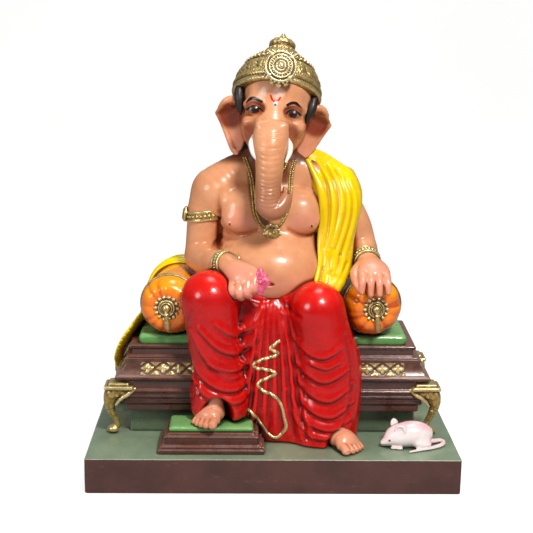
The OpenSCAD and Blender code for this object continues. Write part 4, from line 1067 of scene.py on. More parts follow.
def sculpt_pendant(body):
    p = body.snap([[-1.9, 0, 198.5]])[0]
    c = Clay(p - vec(11, 9, 12), p + vec(11, 6, 13), 0.4)
    tilt = (80, 0, 0)
    c.add(ball(p + vec(0, -0.8, 0), (6.2, 6.2, 2.4), tilt))
    for a in angles(12):
        c.add(ball(p + vec(6.3 * math.cos(a), -0.6, 6.3 * math.sin(a)), (1.5, 1.1, 1.5)), 0.5)
    c.add(ring(p + vec(0, -2.2, 0), 4.0, 0.6, tilt), 0.4)
    c.add(ball(p + vec(0, -2.6, 0), (2.1, 1.4, 2.1)), 0.4)
    c.add(ball(p + vec(0, -1.0, 7.6), (2.6, 1.5, 1.9)), 0.7)
    c.add(ball(p + vec(-3.2, -0.8, 6.6), (1.8, 1.3, 1.3)), 0.7)
    c.add(ball(p + vec(3.2, -0.8, 6.6), (1.8, 1.3, 1.3)), 0.7)
    c.add(ball(p + vec(0, -0.8, -8.2), (1.3, 1.2, 2.0)), 0.6)
    return c


def cuff(body, centre, axis, wide, reach, thick, beads, bead):
    """Band that follows the body's surface round a limb, with two rims and a row of beads."""
    centre, w = vec(*centre), unit(vec(*axis))
    c = Clay(centre - reach - 5, centre + reach + 5, 0.5)
    grids = np.meshgrid(*c.axes, indexing="ij")
    points = np.stack([g.ravel() for g in grids], 1)
    skin_at = body.at(points).reshape(c.d.shape)
    along = ((points - centre) @ w).reshape(c.d.shape)
    out = (np.linalg.norm(points - centre - ((points - centre) @ w)[:, None] * w, axis=1)).reshape(c.d.shape)
    rims = 0.55 * (np.exp(-((np.abs(along) - wide + 0.9) / 0.7) ** 2))
    shell = np.maximum(np.abs(skin_at - 0.2) - thick - rims, np.abs(along) - wide)
    c.d = np.maximum(shell, out - reach).astype(np.float32)
    u = unit(np.cross(w, vec(0, 0, 1)) if abs(w[2]) < 0.9 else np.cross(w, vec(0, 1, 0)))
    v = np.cross(w, u)
    for k in range(beads):
        a = 2 * math.pi * k / beads
        way = u * math.cos(a) + v * math.sin(a)
        p = centre + way * (reach + 2)
        for _ in range(50):
            p = p - way * np.clip(body.at(p[None])[0] * 0.8, -0.4, 1.0)
        if np.linalg.norm(p - centre) < reach:
            c.add(ball(p + way * (thick + 0.3), bead), 0.35)
    return c


def sculpt_armlet(body):
    c = cuff(body, (-58.6, 4, 209.6), (-0.1, 0.05, 1), 4.2, 17.5, 1.0, 30, 0.95)
    c.cut(block((-33, 4, 209), (10.5, 30, 12), rounded=0.5))
    # plaque on the arm's outside
    c.add(ball((-73.6, 1, 210.4), (2.6, 6.0, 6.6), (0, 8, 0)), 1)
    c.add(ring((-75.4, 1, 210.6), 3.6, 0.7, (0, 98, 0)), 0.4)
    return c


# ---------------------------------------------------------------- flower, tusks and jewel
def sculpt_flower():
    c = Clay((-27, -76, 150), (6, -46, 188), 0.5)
    heart = vec(-11.8, -64.5, 168.5)
    rng = np.random.default_rng(4)
    for a in angles(8):
        lean = rng.uniform(0.8, 1.2)
        tip = heart + vec(6.2 * math.cos(a) * lean, -1.6 + 1.8 * math.sin(a), 8.2 * math.sin(a) * lean)
        c.add(tube([[*heart, 2.6, 1.6], [*((heart + tip) / 2 + vec(0, -1.2, 0)), 3.6, 1.6],
                    [*tip, 2.2, 1.1]], side=(-math.sin(a), 0, math.cos(a))), 0.6)
    for k in range(5):
        a = 2 * math.pi * k / 5 + 0.5
        tip = heart + vec(3 * math.cos(a), -3.6, 3 * math.sin(a))
        c.add(tube([[*heart, 2, 1.2], [*tip, 1.7, 0.9]], side=(-math.sin(a), 0, math.cos(a))), 0.5)
    c.add(ball(heart + vec(0, -3.4, 0), 1.8), 0.5)
    return c


def sculpt_tusk(points, radius):
    c = Clay(np.min(points, 0) - 6, np.max(points, 0) + 6, 0.4)
    rows = [[*p, radius * k] for p, k in zip(points, (1, 0.98, 0.85, 0.6, 0.3))]
    c.add(tube(rows))
    return c


# ---------------------------------------------------------------- mouse
def sculpt_mouse():
    ground = DECK
    c = Clay((84, -78, ground - 0.2), (138, -42, ground + 26), 0.5)
    c.add(ball((113.5, -58.5, ground + 10.0), (17.5, 10.6, 11.0), (0, -3, 0)))
    c.add(ball((102.5, -59.5, ground + 8.2), (11, 8.2, 8.4), (0, 16, 0)), 4)
    c.add(tube([[101, -60.5, ground + 7.8, 6.6], [95, -61.3, ground + 5.8, 4.8],
                [90.4, -61.8, ground + 4.0, 2.7]]), 3)
    c.add(ball((122, -66, ground + 4.2), (7, 4.2, 4.6)), 3)
    for x, y in ((98.5, -66.5), (103, -67.5), (119, -68.8), (124, -68.4)):
        c.add(ball((x, y, ground + 1.2), (2.8, 1.7, 1.3)), 1.2)
    for x, y in ((99, -54), (119, -50)):
        c.add(ball((x, y, ground + 1.3), (3, 2, 1.5)), 1.2)
    c.cut(block((110, -60, ground - 4), (60, 40, 4.1), rounded=0.1))
    c.add(ball((94.8, -66.2, ground + 7.6), (1.1, 0.8, 1.0)), 0.3)
    c.stroke([[88, 0, ground + 3.0], [91, 0, ground + 2.6], [94, 0, ground + 3.4]], 0.6, -0.35, 0.5)
    return c


def sculpt_mouse_ears():
    ground = DECK
    c = Clay((92, -74, ground + 6), (112, -46, ground + 26), 0.4)
    c.add(ball((103.2, -65.6, ground + 15.4), (5.2, 2.0, 5.4), (0, 20, -20)))
    c.cut(ball((102.8, -67.6, ground + 15.6), (4.0, 1.6, 4.2), (0, 20, -20)), 0.6)
    c.add(ball((99.6, -55.0, ground + 17.6), (3.4, 1.6, 5.0), (0, -14, 20)))
    return c


def sculpt_mouse_tail():
    ground = DECK
    c = Clay((96, -86, ground), (146, -42, ground + 10), 0.5)
    rows = ((128, -58, 3.4, 2.2), (133.5, -54.5, 2.6, 2.0), (138.5, -52.5, 2.2, 1.9), (140.6, -56, 2.0, 1.8),
            (137.5, -62, 1.8, 1.7), (129, -67.5, 1.6, 1.5), (119, -71.5, 1.4, 1.2), (110.5, -75, 1.1, 0.9))
    c.add(tube([[x, y, ground + up, r] for x, y, up, r in rows], steps=6))
    return c


# ---------------------------------------------------------------- swept mouldings
def waver(seed, size, *fields):
    """Slow, small waves that make a hand-finished surface; fields are coordinate arrays in mm."""
    rng = np.random.default_rng(seed)
    total = 0
    for _ in range(6):
        k = rng.normal(0, 1 / size, len(fields))
        total = total + np.sin(sum(a * f for a, f in zip(k, fields)) + rng.uniform(0, 6.28))
    return total / 6


def rounded_profile(corners, radius, pitch=0.7):
    """Outline through [overhang, z] corners, each corner turned with the given radius."""
    pts = [np.array(c[:2], float) for c in corners]
    radii = [c[2] if len(c) > 2 else radius for c in corners]
    out = [pts[0]]
    for i in range(1, len(pts) - 1):
        a, b, c = pts[i - 1], pts[i], pts[i + 1]
        u, v = a - b, c - b
        r = min(radii[i], 0.45 * np.linalg.norm(u), 0.45 * np.linalg.norm(v))
        u, v = unit(u) * r, unit(v) * r
        for t in np.linspace(0, 1, 5):
            out.append(b + u * (1 - t) ** 2 + v * t ** 2)
    out.append(pts[-1])
    dense = [out[0]]
    for a, b in zip(out[:-1], out[1:]):
        n = max(1, int(np.linalg.norm(b - a) / pitch))
        dense += [a + (b - a) * k / n for k in range(1, n + 1)]
    return np.array(dense)


def outline(low, high, corner, pitch, deep=1.0):
    """Points round a rectangle: places, mitred ways out (y scaled by deep) and face normals."""
    (x0, y0), (x1, y1) = low, high
    spots = [(x1, y0, 1, -1), (x1, y1, 1, 1), (x0, y1, -1, 1), (x0, y0, -1, -1)]
    places, ways, normals = [], [], []
    for i, (cx, cy, sx, sy) in enumerate(spots):
        way = vec(sx, sy * deep)
        for q in np.radians(np.linspace(90 * i - 90, 90 * i, 5)):
            normals.append(vec(math.cos(q), math.sin(q)))
            places.append(vec(cx - sx * corner, cy - sy * corner) + corner * normals[-1])
            ways.append(way)
        nx, ny, tx, ty = spots[(i + 1) % 4]
        begin, flat = places[-1], normals[-1]
        end = vec(nx - tx * corner, ny - ty * corner) + corner * flat
        n = max(2, int(np.linalg.norm(end - begin) / pitch))
        for t in np.arange(1, n) / n:
            places.append(begin + (end - begin) * t)
            ways.append(way * (1 - t) + vec(tx, ty * deep) * t)
            normals.append(flat)
    return np.array(places), np.array(ways), np.array(normals)


def swept(name, low, high, profile, corner=1.2, pitch=3.0, uneven=0.12, seed=1, deep=1.0):
    """Moulding with one profile of [overhang, z] carried round a rectangle."""
    pitch *= COARSER
    places, ways, normals = outline(low, high, corner, pitch, deep)
    n, m = len(places), len(profile)
    xy = places[None] + ways[None] * profile[:, 0][:, None, None]
    z = np.repeat(profile[:, 1][:, None], n, 1)
    points = np.dstack([xy, z]).reshape(-1, 3)
    points[:, :2] += (np.tile(normals, (m, 1)) * uneven
                      * waver(seed, 26, points[:, 0], points[:, 1], points[:, 2] * 3)[:, None])
    points[:, 2] += uneven * 0.6 * waver(seed + 1, 30, points[:, 0], points[:, 1])
    middle = vec((low[0] + high[0]) / 2, (low[1] + high[1]) / 2)
    caps = np.array([[*middle, points[:n, 2].mean()], [*middle, points[-n:, 2].mean()]])
    bottom, top = len(points), len(points) + 1
    ring1 = np.arange(n)
    nxt = (ring1 + 1) % n
    fans = [np.stack([nxt, ring1, np.full(n, bottom)], 1),
            np.stack([ring1, nxt, np.full(n, top)], 1) + np.array([(m - 1) * n, (m - 1) * n, 0])]
    return mesh_object(name, np.vstack([points, caps]), wrapped(m, n), np.concatenate(fans))


def sharpened(obj, degrees=38):
    """Keeps hard arrises hard under smooth shading."""
    obj.data.set_sharp_from_angle(angle=math.radians(degrees))
    return obj


def plan(node):
    """Lowest and highest corner of a CAD node, seen from above."""
    low, high = cad_box(node)
    return (low[0], low[1]), (high[0], high[1])


# ---------------------------------------------------------------- slab, throne and footstool
def build_slab():
    profile = rounded_profile([[-84, 0], [-1.0, 0], [0, 0.8], [0, DECK - 0.2], [-1.4, DECK],
                               [-84, DECK]], 1.4, 3.2)
    return sharpened(swept("slab", *plan("base_slab"), profile, corner=1.6, pitch=3.4, uneven=0.22,
                           seed=3), 50)


LOWER = [[-45, 51], [-9.5, 51], [-8.6, 51.4, .3], [-8.4, 57.2, 1], [-6.2, 57.8, 1], [-5.6, 59.2, 1],
         [-6.4, 60.6, 1], [-6.6, 62.6, 1], [-4.2, 63.2, 1], [-3.6, 64.6, 1], [-4.6, 65.8, 1],
         [-4.8, 67.6, 1], [-2.6, 68.2, 1], [-2.2, 69.4, 1], [-3.0, 70.4, .6], [-5.2, 71.2, .8],
         [-5.4, 77.6, .8], [-3, 78.4, .5], [-0.6, 79.4, .8], [-1.6, 80.2, .4], [-45, 80.2]]
CORNICE = [[-45, 96], [-9.6, 96.2], [-9.2, 96.8, .5], [-9.6, 97.6, .6], [-13.6, 98.4, .8],
           [-13.9, 103.4, .8], [-12.2, 104.2, .6], [-11.6, 105.4, .8], [-12.2, 106.6, .8],
           [-15, 107, .6], [-45, 107.2]]


def build_mouldings():
    low, high = plan("frieze")
    lower = swept("lower_moulding_rolls", low, high, rounded_profile(LOWER, 1), pitch=3.2, seed=5,
                  deep=0.75)
    cornice = swept("cornice_rolls", low, high, rounded_profile(CORNICE, 1), pitch=3.2, seed=9,
                    deep=0.75)
    plinth = swept("plinth_core", *plan("plinth_block"),
                   rounded_profile([[-30, DECK + 0.05], [0, DECK + 0.05], [0, 51.2], [-30, 51.2]], 0.5, 2),
                   corner=2, pitch=5, seed=7)
    return sharpened(plinth, 60), sharpened(lower, 60), sharpened(cornice, 60)


def lattice(u, v, pitch):
    """Height and gilding of the frieze's relief; u runs along it, v is -1 at its foot, 1 at its top."""
    cell = (u / pitch + 0.5) % 1 - 0.5
    x, y = cell * pitch, v * 5.9
    # four petals to each flower
    petals = np.zeros_like(u)
    for px, py, rx, ry in ((2.5, 0, 2.7, 1.75), (-2.5, 0, 2.7, 1.75), (0, 2.2, 1.75, 2.4),
                           (0, -2.2, 1.75, 2.4)):
        petals = np.maximum(petals, 1 - ((x - px) / rx) ** 2 - ((y - py) / ry) ** 2)
    knob = 1 - (x * x + y * y) / 1.3
    flower = np.sqrt(np.clip(np.maximum(petals, 0), 0, 1)) * 1.15 + 0.5 * np.sqrt(np.clip(knob, 0, 1))
    # half diamonds between them, top and bottom, with one line cut inside
    hx = (cell % 1 - 0.5) * pitch
    half = 1 - (np.abs(hx) / 5.0 + (5.9 - np.abs(y)) / 4.6)
    inner = 1 - (np.abs(hx) / 3.0 + (5.9 - np.abs(y)) / 2.8)
    diamond = np.clip(half * 4, 0, 1) * 0.8 - np.clip(inner * 6, 0, 1) * 0.45 \
        + np.clip(inner * 5 - 1.4, 0, 1) * 0.5
    inside = np.abs(y) < 5.9
    return np.where(inside, np.maximum(flower, diamond), 0), np.where(
        inside, np.clip(np.maximum(petals * 5, half * 8), 0, 1), 0)


def build_frieze():
    """Cove with its gilded flowers and diamonds, all in one skin round the throne."""
    low, high = plan("frieze")
    foot, top = (corner[2] for corner in cad_box("frieze"))
    pitch_along = 0.8 * COARSER
    cove = rounded_profile([[-45, foot], [-0.4, foot - 0.1], [0.2, foot + 0.8], [-0.2, foot + 2.0],
                            [-3.4, foot + 3.4, 1], [-6.4, foot + 7.0, 3], [-8.6, foot + 12.2, 2],
                            [-8.4, foot + 13.2, .5], [-8.0, foot + 14.2, .5], [-8.4, top - 0.2, .6],
                            [-45, top]], 0.8, 0.75)
    places, ways, normals = outline(low, high, 0.8, pitch_along, 0.75)
    n, m = len(places), len(cove)
    xy = places[None] + ways[None] * cove[:, 0][:, None, None]
    z = np.repeat(cove[:, 1][:, None], n, 1)
    centre = (np.array(low) + np.array(high)) / 2
    # distance along each face from its middle, and how far to the face's corner
    on_end = np.abs(normals[:, 0]) > np.abs(normals[:, 1])
    u = np.where(on_end, xy[..., 1] - centre[1], xy[..., 0] - centre[0])
    half_run = np.where(on_end, (high[1] - low[1]) / 2, (high[0] - low[0]) / 2) - 13
    v = (cove[:, 1] - (foot + 8.3)) / 5.0
    pitch = 12.9
    height, gold = lattice(u, np.repeat(v[:, None], n, 1), pitch)
    flowers = np.floor(half_run / pitch - 0.2) * pitch + pitch * 0.42
    live = (np.abs(u) < flowers[None]) & (np.abs(v) < 1.02)[:, None]
    height, gold = height * live, gold * live
    # outward and upward lean of the cove
    lean = np.gradient(cove, axis=0)
    lean /= np.linalg.norm(lean, axis=1, keepdims=True) + 1e-9
    out, up = lean[:, 1], -lean[:, 0]
    xy = xy + normals[None] * (height * out[:, None])[..., None]
    z = z + height * up[:, None]
    points = np.dstack([xy, z]).reshape(-1, 3)
    points[:, 2] += 0.08 * waver(13, 20, points[:, 0], points[:, 1])
    o = mesh_object("frieze_relief", points, wrapped(m, n))
    tint(o, "gilt", gold.ravel())
    tint(o, "raise", (height / 1.6).ravel())
    return sharpened(o, 50)


def sculpt_throne_foot(sx, y, out):
    """Cabriole foot; sx is the side, out is 1 in front and -1 behind."""
    def at(x, ahead, z):
        return [sx * x, y - out * ahead, z]
    low = np.minimum(at(112, 14, 0), at(147, -20, 0))
    high = np.maximum(at(112, 14, 0), at(147, -20, 0))
    c = Clay((low[0], low[1], DECK - 0.5), (high[0], high[1], 78), 0.6)
    c.add(block(at(127, -1, 72.6), (12, 10.5, 1.5), rounded=1.0))
    c.add(block(at(127, -1, 75), (8.5, 8, 1.3), rounded=1.0), 0.8)
    c.add(tube([[*at(128, 0, 70), 7.8], [*at(132.5, 1.0, 66.5), 6.8], [*at(134.8, 1.0, 61), 5.4],
                [*at(135.0, 0.0, 54.5), 4.1], [*at(133.2, -2.0, 47.5), 3.2], [*at(130.6, -4.0, 41.5), 2.7],
                [*at(129.9, -5.0, 37), 2.6], [*at(131.6, -5.2, 34), 3.1]]), 2.4)
    c.add(ball(at(133.0, -5.0, 32.8), (4.9, 4.6, 3.6)), 1.4)
    c.add(ball(at(136.0, -5.0, 31.6), (2.2, 2.4, 1.9)), 1.0)
    # scrolled apron toward the throne's middle and along its end
    for x, z, r in ((123.0, 67.5, 4.0), (118.6, 69.4, 3.0), (115.4, 70.8, 2.2)):
        c.add(ball(at(x, 4.0, z), (r, 2.4, r)), 1.6)
    for ahead, z, r in ((-7, 67.5, 4.0), (-11.5, 69.4, 3.0)):
        c.add(ball(at(135.0, ahead, z), (2.4, r, r)), 1.6)
    c.add(tube([[*at(113.5, 5.2, 71.4), 1.2], [*at(119, 6.0, 66.6), 1.5], [*at(125, 6.2, 63), 1.5],
                [*at(129.4, 5.6, 57.5), 1.1]]), 0.8)
    for z in (62.5, 57.5, 52.5):
        c.cut(ring(at(134.4, -0.4 - (62.5 - z) * 0.12, z), 5.6 - (62.5 - z) * 0.12, 0.4, (0, sx * 8, 0)), 0.5)
    for dx, dz, r in ((-3.0, 0.4, 2.0), (1.2, -0.6, 2.2), (-1.0, 3.6, 2.0), (3.2, 2.6, 1.7)):
        c.add(ball(at(131.5 + dx, 7.0, 66 + dz), (r, 1.3, r)), 0.7)
    return c


def build_cushion(name, node, crown, seed, corner=4.0):
    """Cushion cast with soft edges, slightly crowned on top."""
    low, high = cad_box(node)
    top, foot = high[2], low[2]
    h = top - foot
    inner = 0.9 * (high - low)[:2].min() / 2
    profile = rounded_profile([[-inner, foot], [-1.2, foot], [-0.2, foot + h * 0.3, 2],
                               [-0.1, foot + h * 0.62, 2],
                               [-2.2, top - 0.4, 3.2], [-inner * 0.4, top - 0.1], [-inner * 0.7, top + crown],
                               [-inner, top + crown]], 2.6, 1.6)
    return sharpened(swept(name, *plan(node), profile, corner=corner, pitch=3,
                           uneven=0.35, seed=seed), 70)


STOOL = [[-17, 29.3], [-0.3, 29.3], [0, 30, .4], [-0.1, 32.4, .8], [-1.6, 33.2, .6], [-2.0, 34.0, .6],
         [-1.8, 34.8, .8], [-4.2, 36.2, 1], [-5.4, 40.4, 1.5], [-5.2, 41.2, .5], [-4.6, 42.0, .7],
         [-5.2, 42.8, .6], [-7.6, 43.4, .7], [-8.0, 44.6, .7], [-9.4, 45.3, .4], [-17, 45.3]]


def build_stool():
    base = swept("footstool_rolls", *plan("footstool_base"), rounded_profile(STOOL, 0.8),
                 pitch=2.4, seed=21, uneven=0.16, deep=0.75)
    return sharpened(base, 60)


# ---------------------------------------------------------------- bolsters
BOLSTER_HALF = 43.5


def bolster_frame(side):
    """Middle of a bolster, its front-pointing axis, and two directions across it."""
    low, high = cad_box("bolster_left" if side < 0 else "bolster_right")
    middle = (low + high) / 2
    splay = math.radians(8) * side
    ahead = vec(math.sin(splay), -math.cos(splay), 0)
    return middle, ahead, vec(math.cos(splay), math.sin(splay), 0)


def bolster_face(side, forward):
    """A point on a bolster's axis, and on(across, up, ahead) for points round it."""
    middle, ahead, across = bolster_frame(side)
    face = middle + ahead * forward

    def on(u, v, w):
        return face + across * u + vec(0, 0, 1) * v + ahead * w
    return face, on


def build_bolster(name, side, seed):
    """Round cushion gathered into each end: a turned form whose gathers deepen toward the middle."""
    middle, ahead, across = bolster_frame(side)
    radius, half = 24.2, BOLSTER_HALF
    around = int(300 / COARSER)
    q = np.linspace(0, 2 * math.pi, around, endpoint=False)
    half_outline = [[0.0, half - 6.0], [4, half - 4.6], [8.5, half - 1.6], [13, half - 0.2],
                    [17.5, half - 1.2], [21.2, half - 4.8], [23.4, half - 10], [radius, half - 17],
                    [radius - 0.1, half - 26], [radius - 0.3, half - 36]]
    ends = smoothed(half_outline, 7)
    line = np.vstack([ends, [[radius - 0.35, 0]], (ends * [1, -1])[::-1]])
    rng = np.random.default_rng(seed)
    r, s = line[:, 0][:, None], line[:, 1][:, None]
    # gathers: sharp valleys that start at the rosette and fade along the cylinder
    angle = q[None] + 0.05 * np.sin(3 * q)[None]
    depth = np.zeros((len(line), around))
    for k in range(12):
        place = 2 * math.pi * (k + rng.uniform(-0.42, 0.42)) / 12
        wide = rng.uniform(0.09, 0.16)
        deep = rng.uniform(0.4, 1.7)
        turn = np.abs((angle - place + math.pi) % (2 * math.pi) - math.pi)
        reach = rng.uniform(17, 27)
        inner = np.clip(1 - (half + 1 - np.abs(s)) / reach, 0, 1) ** 1.1 * np.clip(r / 9, 0, 1)
        depth -= deep * inner * np.exp(-(turn / (wide * (0.7 + 8 / (r + 6)))) ** 2)
    sag = 0.35 * waver(seed, 18, (r * np.cos(q)[None]), (r * np.sin(q)[None]), s * np.ones_like(q))
    rr = np.maximum(r + (depth + sag) * np.clip(r / 6, 0, 1), 0)
    ss = s + np.sign(s) * depth * 0.9 * np.clip(1 - r / 26, 0, 1)
    flat = np.maximum(-(rr * np.sin(q)[None]), -24.45)
    up = -flat
    points = (middle + ss[..., None] * ahead + (rr * np.cos(q)[None])[..., None] * across
              + up[..., None] * vec(0, 0, 1)).reshape(-1, 3)
    faces = wrapped(len(line), around)[:, [1, 0, 3, 2]]
    o = mesh_object(name, points, outward(points - middle, faces))
    tint(o, "fold", (depth.ravel()))
    return o


def build_band(name, side):
    """Braid band with a woven relief, hugging the bolster behind its front bulge."""
    middle, ahead, across = bolster_frame(side)
    around = int(520 / COARSER)
    q = np.linspace(0, 2 * math.pi, around, endpoint=False)
    rows = np.array([[23.2, -3.1], [24.6, -3.1], [25.1, -2.8], [25.15, -2.2], [24.7, -1.9], [24.8, -1.3],
                     [24.9, -0.7], [24.95, 0.0], [24.9, 0.7], [24.8, 1.3], [24.7, 1.9], [25.15, 2.2],
                     [25.1, 2.8], [24.6, 3.1], [23.2, 3.1]])
    r, s = rows[:, 0][:, None] * np.ones_like(q), rows[:, 1][:, None] * np.ones_like(q)
    braid = 0.32 * np.abs(np.sin(40 * q[None] + s * 1.6)) * np.abs(np.sin(40 * q[None] - s * 1.6))
    r = r + np.where(np.abs(s) < 1.6, braid, 0.08 * np.sin(110 * q[None]))
    at = BOLSTER_HALF - 17
    points = (middle + (at + s)[..., None] * ahead + (r * np.cos(q))[..., None] * across
              + (np.maximum(r * np.sin(q), -24.5))[..., None] * vec(0, 0, 1)).reshape(-1, 3)
    faces = wrapped(len(rows), around)
    o = mesh_object(name, points, outward(points - middle, faces))
    tint(o, "raise", np.clip(braid / 0.32, 0, 1).ravel())
    return o


def sculpt_rosette(side):
    """Spiky scalloped disc, rings and a knob on the bolster's front."""
    face, on = bolster_face(side, 41.5)
    ahead = bolster_frame(side)[1]
    low, high = face - 21, face + 14
    c = Clay(low + vec(4, 6, -2), high + vec(4, 2, 2), 0.45)
    turn = (90, 0, math.degrees(math.atan2(ahead[0], -ahead[1])))
    c.add(ball(on(0, 0, 0.6), (9.4, 9.4, 2.3), turn))
    for a in angles(14):
        c.add(ball(on(9.2 * math.cos(a), 9.2 * math.sin(a), 1.5), (1.7, 1.7, 1.4)), 0.7)
        c.add(tube([[*on(8.6 * math.cos(a), 8.6 * math.sin(a), 1.8), 0.8],
                    [*on(11.0 * math.cos(a), 11.0 * math.sin(a), 1.2), 0.35]]), 0.5)
        b = a + math.pi / 14
        c.cut(ball(on(7.6 * math.cos(b), 7.6 * math.sin(b), 2.9), (0.9, 0.9, 1.0)), 0.5)
    c.add(ring(on(0, 0, 2.6), 6.2, 0.75, turn), 0.4)
    c.add(ring(on(0, 0, 3.1), 4.4, 0.6, turn), 0.4)
    c.add(ball(on(0, 0, 3.6), (3.2, 3.2, 2.6), turn), 0.5)
    return c


def sculpt_tassel(side):
    face, on = bolster_face(side, BOLSTER_HALF + 2)
    c = Clay(face - vec(7, 7, 21), face + vec(7, 6, 2), 0.45)
    c.add(tube([[*on(0, -1.2, 0.4), 1.2], [*on(0.3, -4.5, 0.8), 1.5], [*on(0.8, -9, 0.4), 2.3],
                [*on(1.3, -14, -0.4), 2.6], [*on(1.7, -17.5, -1.2), 1.5], [*on(1.9, -19.3, -1.6), 0.5]]))
    c.add(ring(on(0.3, -4.6, 0.7), 1.6, 0.55), 0.4)
    for a in angles(7):
        c.cut(tube([[*on(0.6 + 2.0 * math.cos(a), -6, 0.6 + 2.0 * math.sin(a)), 0.25],
                    [*on(1.1 + 3.0 * math.cos(a), -12, 0 + 3.0 * math.sin(a)), 0.42],
                    [*on(1.7 + 1.8 * math.cos(a), -18, -1.2 + 1.8 * math.sin(a)), 0.3]]), 0.3)
    return c


# ---------------------------------------------------------------- where surfaces crowd together
CROWD_LOW, CROWD_STEP = vec(-154, -94, 0), 2.0
CROWD_SIZE = (155, 95, 183)


def box_blur(grid, reach):
    for axis in range(3):
        pad = [(0, 0)] * 3
        pad[axis] = (reach + 1, reach)
        total = np.cumsum(np.pad(grid, pad, mode="edge"), axis=axis, dtype=np.float64)
        n = grid.shape[axis]
        high = np.take(total, np.arange(2 * reach + 1, 2 * reach + 1 + n), axis=axis)
        low = np.take(total, np.arange(n), axis=axis)
        grid = ((high - low) / (2 * reach + 1)).astype(np.float32)
    return grid


def crowding():
    """How full the space is round each place, at a fine and a coarse scale, 0 to 1."""
    axes = [CROWD_LOW[i] + CROWD_STEP * np.arange(CROWD_SIZE[i]) for i in range(3)]
    full = np.zeros(CROWD_SIZE, np.float32)
    full[:, :, axes[2] < 0.5] = 1
    for clay in Clay.kept:
        top = clay.low + (np.array(clay.d.shape) - 1) * clay.step
        cut = tuple(slice(*np.searchsorted(a, (lo, hi))) for a, lo, hi in zip(axes, clay.low, top))
        grids = np.meshgrid(*[a[c] for a, c in zip(axes, cut)], indexing="ij")
        if not grids[0].size:
            continue
        d = clay.at(np.stack([g.ravel() for g in grids], 1)).reshape(grids[0].shape)
        full[cut] = np.maximum(full[cut], np.clip(0.5 - d / CROWD_STEP, 0, 1))
    for node in ("base_slab", "plinth_block", "lower_moulding", "frieze", "cornice", "seat_cushion",
                 "footstool_base", "footstool_cushion"):
        low, high = cad_box(node)
        inset = 5.0 if node in ("frieze", "cornice") else 2.0 if node == "lower_moulding" else 0.0
        cut = tuple(slice(*np.searchsorted(a, (lo + inset * (i < 2), hi - inset * (i < 2))))
                    for i, (a, lo, hi) in enumerate(zip(axes, low, high)))
        full[cut] = 1
    for side in (-1, 1):
        middle, ahead, across = bolster_frame(side)
        x, y, z = axes[0][:, None, None], axes[1][None, :, None], axes[2][None, None, :]
        s = (x - middle[0]) * ahead[0] + (y - middle[1]) * ahead[1]
        a = (x - middle[0]) * across[0] + (y - middle[1]) * across[1]
        r = np.sqrt(a * a + (z - middle[2]) ** 2)
        full = np.maximum(full, np.clip(0.5 - np.maximum(r - 24, np.abs(s) - 41) / 2, 0, 1))
    fine = box_blur(box_blur(full, 1), 1)
    coarse = box_blur(box_blur(full, 3), 2)
    return fine, coarse


def mesh_arrays(obj):
    me = obj.data
    p = np.zeros(len(me.vertices) * 3, np.float32)
    n = np.zeros(len(me.vertices) * 3, np.float32)
    me.vertices.foreach_get("co", p)
    me.vertex_normals.foreach_get("vector", n)
    return p.reshape(-1, 3) / MM, n.reshape(-1, 3)


def shade_by_crowding(obj, fine, coarse):
    """Stores how deep each point lies in a small crease and in a large hollow; the materials paint shade
    there.
    """
    p, n = mesh_arrays(obj)
    near = read(fine, CROWD_LOW, CROWD_STEP, p + n * 2.6)
    wide = read(coarse, CROWD_LOW, CROWD_STEP, p + n * 6.0)
    tint(obj, "crease", np.clip((near - 0.16) / 0.5, 0, 1))
    tint(obj, "hollow", np.clip((wide - 0.26) / 0.5, 0, 1))


# ---------------------------------------------------------------- materials
def srgb(code):
    """Linear colour from a #rrggbb code."""
    parts = [int(code[i:i + 2], 16) / 255 for i in (1, 3, 5)]
    return [c / 12.92 if c <= 0.04045 else ((c + 0.055) / 1.055) ** 2.4 for c in parts] + [1.0]


